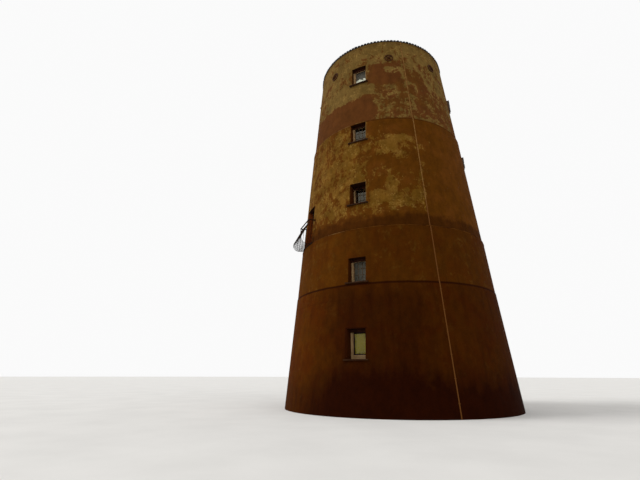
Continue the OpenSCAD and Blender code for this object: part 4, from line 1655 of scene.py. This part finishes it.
@dataclass
class Balcony(Assembly):
    """What fixes the pot-bellied balcony to the wall."""

    ANGLE: ClassVar[float] = -134.0
    LEVEL: ClassVar[float] = 8.25

    width: float = 1.6
    rail_top: float = 1.3
    rail: float = 0.045
    plate_sunk: float = 0.03
    plate_proud: float = 0.01
    plate_half: float = 0.045
    plate_rise: float = 0.06
    plate_bevel: float = 0.004
    bolt_rise: float = 0.042
    bolt: float = 0.011
    foot_drop: float = 0.08
    feet: int = 15
    collar: float = 0.026
    collar_front: float = 0.022
    collar_sunk: float = 0.02
    collar_proud: float = 0.007
    collar_sides: int = 18

    def build(self) -> None:
        """Makes the wall plates of the rails and the collars that the balusters' feet pass through."""
        work = Work(column(self.ANGLE))
        half = (self.width - self.rail) / 2
        head = self.LEVEL + self.rail_top - self.rail / 2
        foot = self.LEVEL - self.foot_drop
        for across in about(0.0, half):
            reach = self.form.reach(head, across)
            work.block((reach - self.plate_sunk, reach + self.plate_proud), about(across, self.plate_half),
                       about(head, self.plate_rise), self.plate_bevel)
            for level in about(head, self.bolt_rise):
                work.bolt((reach + self.plate_proud, across, level), self.bolt)
        for index in range(self.feet):
            across = -half + 2 * half * index / (self.feet - 1)
            reach = self.form.reach(foot, across)
            work.rod((reach - self.collar_sunk, across, foot), (reach + self.collar_proud, across, foot),
                     self.collar, self.collar_sides, self.collar_front)
        self.piece("balcony_flanges", work, Look.BALCONY_IRON)


@dataclass
class BalconyDoors(Assembly):
    """Fittings of the pair of glazed doors on the balcony. Each leaf is measured from its level."""

    width: float = 1.15
    height: float = 2.22
    set_back: float = 0.03
    posts: float = 0.174
    cover_depth: float = 0.012
    cover_half: float = 0.022
    cover_rise: Span = (0.01, 2.12)
    cover_bevel: float = 0.004
    weatherboard_depth: float = 0.022
    weatherboard_rise: Span = (0.02, 0.085)
    weatherboard_gap: Span = (0.03, 0.01)
    weatherboard_bevel: float = 0.008
    bead: float = 0.01
    bead_depth: float = 0.008
    bead_bevel: float = 0.003
    panel_gap: float = 0.075
    panel: Span = (0.12, 0.47)
    panes: Span = (0.52, 2.05)
    bar_shares: Span = (0.34, 0.67)
    bar_depth: Span = (-0.018, -0.004)
    bar_gap: Span = (0.082, 0.078)
    bar_half: float = 0.011
    handle_across: float = 0.042
    handle_level: float = 1.06
    handle_reach: float = 0.045
    handle_length: float = 0.1
    handle_droop: float = 0.004
    handle: float = 0.0085
    spindle: float = 0.008
    plate_depth: float = 0.006
    plate_half: float = 0.016
    plate_rise: Span = (0.93, 1.13)
    plate_bevel: float = 0.003
    step_gap: float = 0.002
    step_set_back: float = 0.004
    step_head: float = 0.016
    step_bevel: float = 0.006

    def face(self) -> float:
        """Distance of the doors' frame from the axis."""
        return self.form.frame_face(Balcony.LEVEL, self.height)

    def place(self, reach: float) -> Matrix:
        """Where the doorway's middle meets the balcony's level, at a distance from the axis."""
        return column(Balcony.ANGLE) @ Matrix.Translation((reach, 0.0, Balcony.LEVEL))

    def leaf_beads(self, work: Work, side: int, leaf: float) -> None:
        """Makes one leaf's weatherboard, the beads round its lower panel and its glazing bars.

        Args:
            work: The piece that they go into.
            side: The leaf's side, -1 or 1.
            leaf: The leaf's width.
        """
        out, bead, bevel = (0.0, self.bead_depth), self.bead, self.bead_bevel
        low, high = self.panel
        inner, outer = self.weatherboard_gap
        near, far = sorted((side * self.panel_gap, side * (leaf - self.panel_gap)))
        work.block((0.0, self.weatherboard_depth), (side * inner, side * (leaf - outer)),
                   self.weatherboard_rise, self.weatherboard_bevel)
        for foot in (low, high - bead):
            work.block(out, (near, far), (foot, foot + bead), bevel)
        for across in (near, far - bead):
            work.block(out, (across, across + bead), (low + bead, high - bead), bevel)
        pane_foot, pane_head = self.panes
        inner, outer = self.bar_gap
        for share in self.bar_shares:
            middle = pane_foot + (pane_head - pane_foot) * share
            work.block(self.bar_depth, (side * inner, side * (leaf - outer)), about(middle, self.bar_half),
                       bevel)

    def leaf_handle(self, work: Work, side: int) -> None:
        """Makes one leaf's plate, spindle and drooping handle.

        Args:
            work: The piece that they go into.
            side: The leaf's side, -1 or 1.
        """
        across, level, grip = side * self.handle_across, self.handle_level, self.handle_reach
        work.block((0.0, self.plate_depth), about(across, self.plate_half), self.plate_rise,
                   self.plate_bevel)
        work.rod((self.plate_depth, across, level), (grip, across, level), self.spindle)
        work.rod((grip, across - side * self.handle_droop, level),
                 (grip, across + side * self.handle_length, level - self.handle_droop), self.handle)

    def fittings(self) -> None:
        """Makes the leaves' cover strip, beads and weatherboards, and their handles."""
        place = self.place(self.face() - self.set_back)
        beads, handles = Work(place), Work(place)
        beads.block((0.0, self.cover_depth), about(0.0, self.cover_half), self.cover_rise, self.cover_bevel)
        for side in (-1, 1):
            self.leaf_beads(beads, side, (self.width - self.posts) / 2)
            self.leaf_handle(handles, side)
        # The beads carry the door paint's painted shade.
        self.piece("balcony_door_beads", beads, Look.DOOR_PAINT)
        self.piece("balcony_door_handles", handles, Look.BALCONY_IRON)

    def threshold(self) -> None:
        """Lays the stone step in the doorway."""
        work, half = Work(self.place(0.0)), self.width / 2
        front = self.form.reach(Balcony.LEVEL, half) - self.step_set_back
        work.block((self.face() - self.step_gap, front), about(0.0, half - self.step_gap),
                   (-self.step_gap, self.step_head), self.step_bevel)
        self.piece("balcony_threshold", work, Look.SLATE)

    def build(self) -> None:
        """Makes the doors' fittings and the step."""
        self.fittings()
        self.threshold()


@dataclass
class LandingWindows(Assembly):
    """Bars, lead tops and sills of the two landing windows on the right side."""

    BARS: ClassVar[GlazingBars] = GlazingBars(width=0.022)
    LIGHTS: ClassVar[int] = 2

    angle: float = 4.0
    width: float = 0.6
    border: float = 0.06
    proud: float = 0.075
    depth: float = 0.26
    lead: float = 0.012
    lead_out: float = 0.014
    lead_rise: float = 0.008
    lead_hang: float = 0.045
    lead_bevel: float = 0.004
    lead_sunk: float = 0.02
    lead_lap: float = 0.004
    sill_out: float = 0.03
    sill_sunk: float = 0.002
    openings: tuple[Span, ...] = ((17.05, 0.54), (13.04, 0.47))

    def build(self) -> None:
        """Makes the glazing bars and the lead."""
        bars, lead = Work(column(self.angle)), Work(column(self.angle))
        over, bevel = about(0.0, self.width / 2 + self.lead), self.lead_bevel
        for foot, height in self.openings:
            head = foot + height
            face = self.form.batter(foot + height / 2) + self.proud
            front, glass = face + self.lead_out, face - self.depth / 2
            half, low = self.width / 2 - self.border, foot + self.border
            self.BARS.lay(bars, glass, (half, low, head - self.border), self.LIGHTS)
            back = self.form.face(head) - self.lead_sunk
            lead.block((back, front), over, (head - self.lead_lap, head + self.lead_rise), bevel)
            lead.block((face, front), over, (head - self.lead_hang, head + self.lead_lap), bevel)
            lead.block((glass, face + self.sill_out), about(0.0, half),
                       (low - self.sill_sunk, low + self.lead), bevel)
        # The landing bars carry the landing paint's painted shade.
        self.piece("landing_bars", bars, Look.LANDING_PAINT, crease=self.SHARP_CREASE)
        self.piece("landing_leads", lead, Look.LEAD)


@dataclass
class Entrance(Assembly):
    """Boards, hinges and furniture of the entrance door at the back."""

    angle: float = 90.0
    foot: float = 0.15
    width: float = 1.0
    height: float = 2.05
    frame: float = 0.085
    set_back: float = 0.03
    leaf_gap: float = 0.003
    boards: int = 7
    board_depth: Span = (-0.004, 0.014)
    board_gap: float = 0.002
    board_foot: float = 0.008
    board_head: float = 0.006
    board_bevel: float = 0.005
    hinges: Span = (0.35, 1.62)
    hinge_reach: float = 0.55
    hinge_depth: Span = (0.012, 0.019)
    hinge_half: float = 0.022
    hinge_bevel: float = 0.003
    bolt_shares: tuple[float, ...] = (0.06, 0.30, 0.55, 0.74)
    bolt: float = 0.008
    pin: float = 0.01
    pin_rise: float = 0.045
    pin_out: float = 0.02
    pin_gap: float = 0.004
    handle_inset: float = 0.08
    lock_depth: Span = (0.014, 0.019)
    lock_half: float = 0.025
    lock_rise: Span = (0.93, 1.15)
    lock_bevel: float = 0.002
    spindle_depth: Span = (0.019, 0.05)
    spindle_level: float = 1.09
    spindle: float = 0.009
    ring_out: float = 0.046
    ring_radius: float = 0.045
    wire: float = 0.006
    ring_sides: int = 8
    ring_steps: int = 24
    step_depth: Span = (0.02, 0.03)
    step_gap: float = 0.003
    step_rise: Span = (-0.002, 0.018)
    step_bevel: float = 0.006

    def half(self) -> float:
        """Half the width of the door leaf."""
        return self.width / 2 - self.frame - self.leaf_gap

    def boarding(self, place: Matrix) -> None:
        """Nails the upright boards on."""
        work, pitch = Work(place), 2 * self.half() / self.boards
        for index in range(self.boards):
            start = -self.half() + index * pitch
            work.block(self.board_depth, (start + self.board_gap, start + pitch - self.board_gap),
                       (self.board_foot, self.height - self.frame - self.board_head), self.board_bevel)
        self.piece("entrance_boards", work, Look.DOOR_TIMBER)

    def ring(self, work: Work) -> None:
        """Hangs the ring handle from its spindle."""
        across, turn = self.half() - self.handle_inset, 2 * math.pi / self.ring_steps
        level = self.spindle_level - self.ring_radius
        hung = Matrix.Translation((self.ring_out, across, level)) @ Matrix.Rotation(math.pi / 2, 4, "Y")
        wire = Matrix.Translation((self.ring_radius, 0.0, 0.0)) @ Matrix.Rotation(math.pi / 2, 4, "X")
        stations = [hung @ Matrix.Rotation(turn * step, 4, "Z") @ wire for step in range(self.ring_steps + 1)]
        corners = (2 * math.pi * side / self.ring_sides for side in range(self.ring_sides))
        section = [(self.wire * math.cos(corner), self.wire * math.sin(corner)) for corner in corners]
        start, end = ((out, across, self.spindle_level) for out in self.spindle_depth)
        work.rod(start, end, self.spindle)
        work.sweep(section, stations)

    def ironwork(self, place: Matrix) -> None:
        """Makes the strap hinges with their bolts, the lock's plate and the ring handle."""
        work, half = Work(place), self.half()
        for level in self.hinges:
            work.block(self.hinge_depth, (-half, half * self.hinge_reach), about(level, self.hinge_half),
                       self.hinge_bevel)
            for share in self.bolt_shares:
                work.bolt((self.hinge_depth[1], -half + 2 * half * share, level), self.bolt)
            foot, head = ((self.pin_out, -half - self.pin_gap, end) for end in about(level, self.pin_rise))
            work.rod(foot, head, self.pin)
        work.block(self.lock_depth, about(half - self.handle_inset, self.lock_half), self.lock_rise,
                   self.lock_bevel)
        self.ring(work)
        self.piece("entrance_ironwork", work, Look.BALCONY_IRON)

    def build(self) -> None:
        """Makes the boards, the ironwork and the step."""
        face = self.form.frame_face(self.foot, self.height) - self.set_back
        place = column(self.angle) @ Matrix.Translation((face, 0.0, self.foot))
        self.boarding(place)
        self.ironwork(place)
        step = Work(place)
        back, set_back = self.step_depth
        step.block((back, self.form.face(self.foot) - set_back - face),
                   about(0.0, self.width / 2 - self.step_gap), self.step_rise, self.step_bevel)
        self.piece("entrance_step", step, Look.SLATE)


@dataclass
class Conductor(Assembly):
    """Clips that hold the lightning strip to the wall."""

    angle: float = -53.5
    slant: float = 1.1
    front: float = 0.013
    top_gap: float = 0.09
    first: float = 0.35
    last_gap: float = 0.3
    spacing: float = 0.92
    ledge_gap: float = 0.08
    sunk: float = 0.004
    half_width: float = 0.046
    half_height: float = 0.014
    bevel: float = 0.004
    screw_across: float = 0.037
    screw: float = 0.006

    def build(self) -> None:
        """Makes a saddle clip with two screws at each step down the strip, clear of the ledges."""
        work = Work()
        top, drop = self.form.height - self.top_gap, self.first
        while drop < top - self.last_gap:
            level = top - drop
            if min(abs(level - ledge) for ledge in self.form.ledges) > self.ledge_gap:
                across = drop * math.tan(math.radians(self.slant))
                reach = self.form.reach(level, across)
                work.place = (column(self.angle) @ Matrix.Translation((reach, across, level))
                              @ Matrix.Rotation(math.asin(across / reach), 4, "Z")
                              @ Matrix.Rotation(-self.form.lean, 4, "Y"))
                work.block((-self.sunk, self.front), about(0.0, self.half_width),
                           about(0.0, self.half_height), self.bevel)
                for aside in about(0.0, self.screw_across):
                    work.bolt((self.front, aside, 0.0), self.screw)
            drop += self.spacing
        self.piece("conductor_clips", work, Look.STRIP)


@dataclass
class Roof(Assembly):
    """The roof covering's upturned edge against the parapet."""

    UPSTAND: ClassVar[Section] = (
        (0.004, -0.004), (-0.10, 0.004), (-0.052, 0.03), (-0.018, 0.075), (-0.012, 0.16),
        (-0.004, 0.168), (0.002, 0.16))
    WEAR: ClassVar[Wear] = Wear(0.004, 5.0)

    rise: float = 0.12
    steps: int = 180

    def build(self) -> None:
        """Makes the angle fillet and the apron over it, all round."""
        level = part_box("roof_deck")[1].z - self.rise
        work = Work()
        work.lathe(self.UPSTAND, (self.form.inner(level), level), self.steps)
        work.roughen(self.WEAR)
        self.piece("roof_upstand", work, Look.LEAD)


def dress_nodes() -> None:
    """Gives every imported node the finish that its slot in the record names."""
    slots = {row["node"]: row["material_slot"] for row in frame["record"]["subparts"]}
    for name, node in frame["nodes"].items():
        LOOK_OF_SLOT[slots[name]].on(node)
        LOG.info("finish %s on %s", slots[name], name)


def towards(azimuth: float, rise: float) -> Vector:
    """Points at an angle round the tower from +X and an angle above the ground, in degrees."""
    turn, height = math.radians(azimuth), math.radians(rise)
    return Vector((math.cos(turn) * math.cos(height), math.sin(turn) * math.cos(height), math.sin(height)))


@dataclass(frozen=True)
class Lamp:
    """A soft, distant lamp: where it hangs, how strong it is and how wide it is seen, in degrees."""

    azimuth: float
    rise: float
    strength: float
    spread: float

    def hang(self) -> None:
        """Hangs the lamp so that it shines on the tower."""
        data = bpy.data.lights.new("lamp", "SUN")
        data.energy = self.strength
        data.angle = math.radians(self.spread)
        lamp = bpy.data.objects.new("lamp", data)
        lamp.rotation_euler = towards(self.azimuth, self.rise).to_track_quat("Z", "Y").to_euler()
        bpy.context.scene.collection.objects.link(lamp)


@dataclass
class Studio:
    """A pale floor, soft lamps and the camera where the photograph was taken."""

    LAMPS: ClassVar[tuple[Lamp, ...]] = (Lamp(-150.0, 38.0, 1.5, 30.0), Lamp(-40.0, 30.0, 0.525, 60.0))

    eye: tuple[float, float, float] = (6.55, -21.55, 1.6)
    heading: float = 117.4
    pitch: float = 18.9
    roll: float = 0.13
    lens: float = 22.21
    sensor: float = 36.0
    floor_reach: float = 400.0
    floor_sides: int = 96
    sky: float = 0.62
    seen_sky: float = 0.96

    def camera(self) -> None:
        """Makes the camera from its heading, pitch and roll."""
        lean = math.radians(self.roll)
        ahead = towards(self.heading, self.pitch)
        right = ahead.cross(Vector((0.0, 0.0, 1.0))).normalized()
        across = right * math.cos(lean) + right.cross(ahead) * math.sin(lean)
        axes = Matrix((across, across.cross(ahead), -ahead)).transposed().to_4x4()
        data = bpy.data.cameras.new("camera")
        data.sensor_fit = "HORIZONTAL"
        data.sensor_width = self.sensor
        data.lens = self.lens
        data.clip_end = 2 * self.floor_reach
        eye = bpy.data.objects.new("camera", data)
        eye.matrix_world = Matrix.Translation(self.eye) @ axes
        bpy.context.scene.collection.objects.link(eye)
        bpy.context.scene.camera = eye

    def world(self) -> None:
        """Lights the tower from all round, with a white sky where the camera, gloss or glass sees it."""
        world = bpy.data.worlds.new("world")
        world.use_nodes = True
        bpy.context.scene.world = world
        graph = Graph(world.node_tree)
        background = graph.tree.nodes["Background"].inputs
        rays = graph.node("ShaderNodeLightPath").outputs
        seen = graph.math("MAXIMUM", rays["Is Camera Ray"], rays["Is Glossy Ray"])
        seen = graph.math("MAXIMUM", seen, rays["Is Transmission Ray"])
        graph.feed(background["Color"], (1.0, 1.0, 1.0, 1.0))
        graph.feed(background["Strength"], graph.step(seen, 0.0, 1.0, self.sky, self.seen_sky))

    def floor(self) -> None:
        """Lays the pale floor."""
        mesh, shape = bpy.data.meshes.new("floor"), bmesh.new()
        bmesh.ops.create_circle(shape, cap_ends=True, segments=self.floor_sides, radius=self.floor_reach)
        shape.to_mesh(mesh)
        shape.free()
        mesh.materials.append(FloorFinish("floor").material())
        floor = bpy.data.objects.new("floor", mesh)
        bpy.context.scene.collection.objects.link(floor)

    def build(self) -> None:
        """Sets the whole studio up."""
        bpy.context.scene.view_settings.view_transform = "Standard"
        self.camera()
        self.world()
        for lamp in self.LAMPS:
            lamp.hang()
        self.floor()


def main() -> None:
    """Builds the studio and the tower's dress in order."""
    logging.basicConfig(level=logging.INFO, format="%(name)s: %(message)s")
    Studio().build()
    dress_nodes()
    form = TowerForm()
    for assembly in (Coping, Windows, RollerBlind, Ledges, Balcony, BalconyDoors, LandingWindows, Entrance,
                     Conductor, Roof):
        assembly(form).build()


if __name__ == "__main__":
    main()
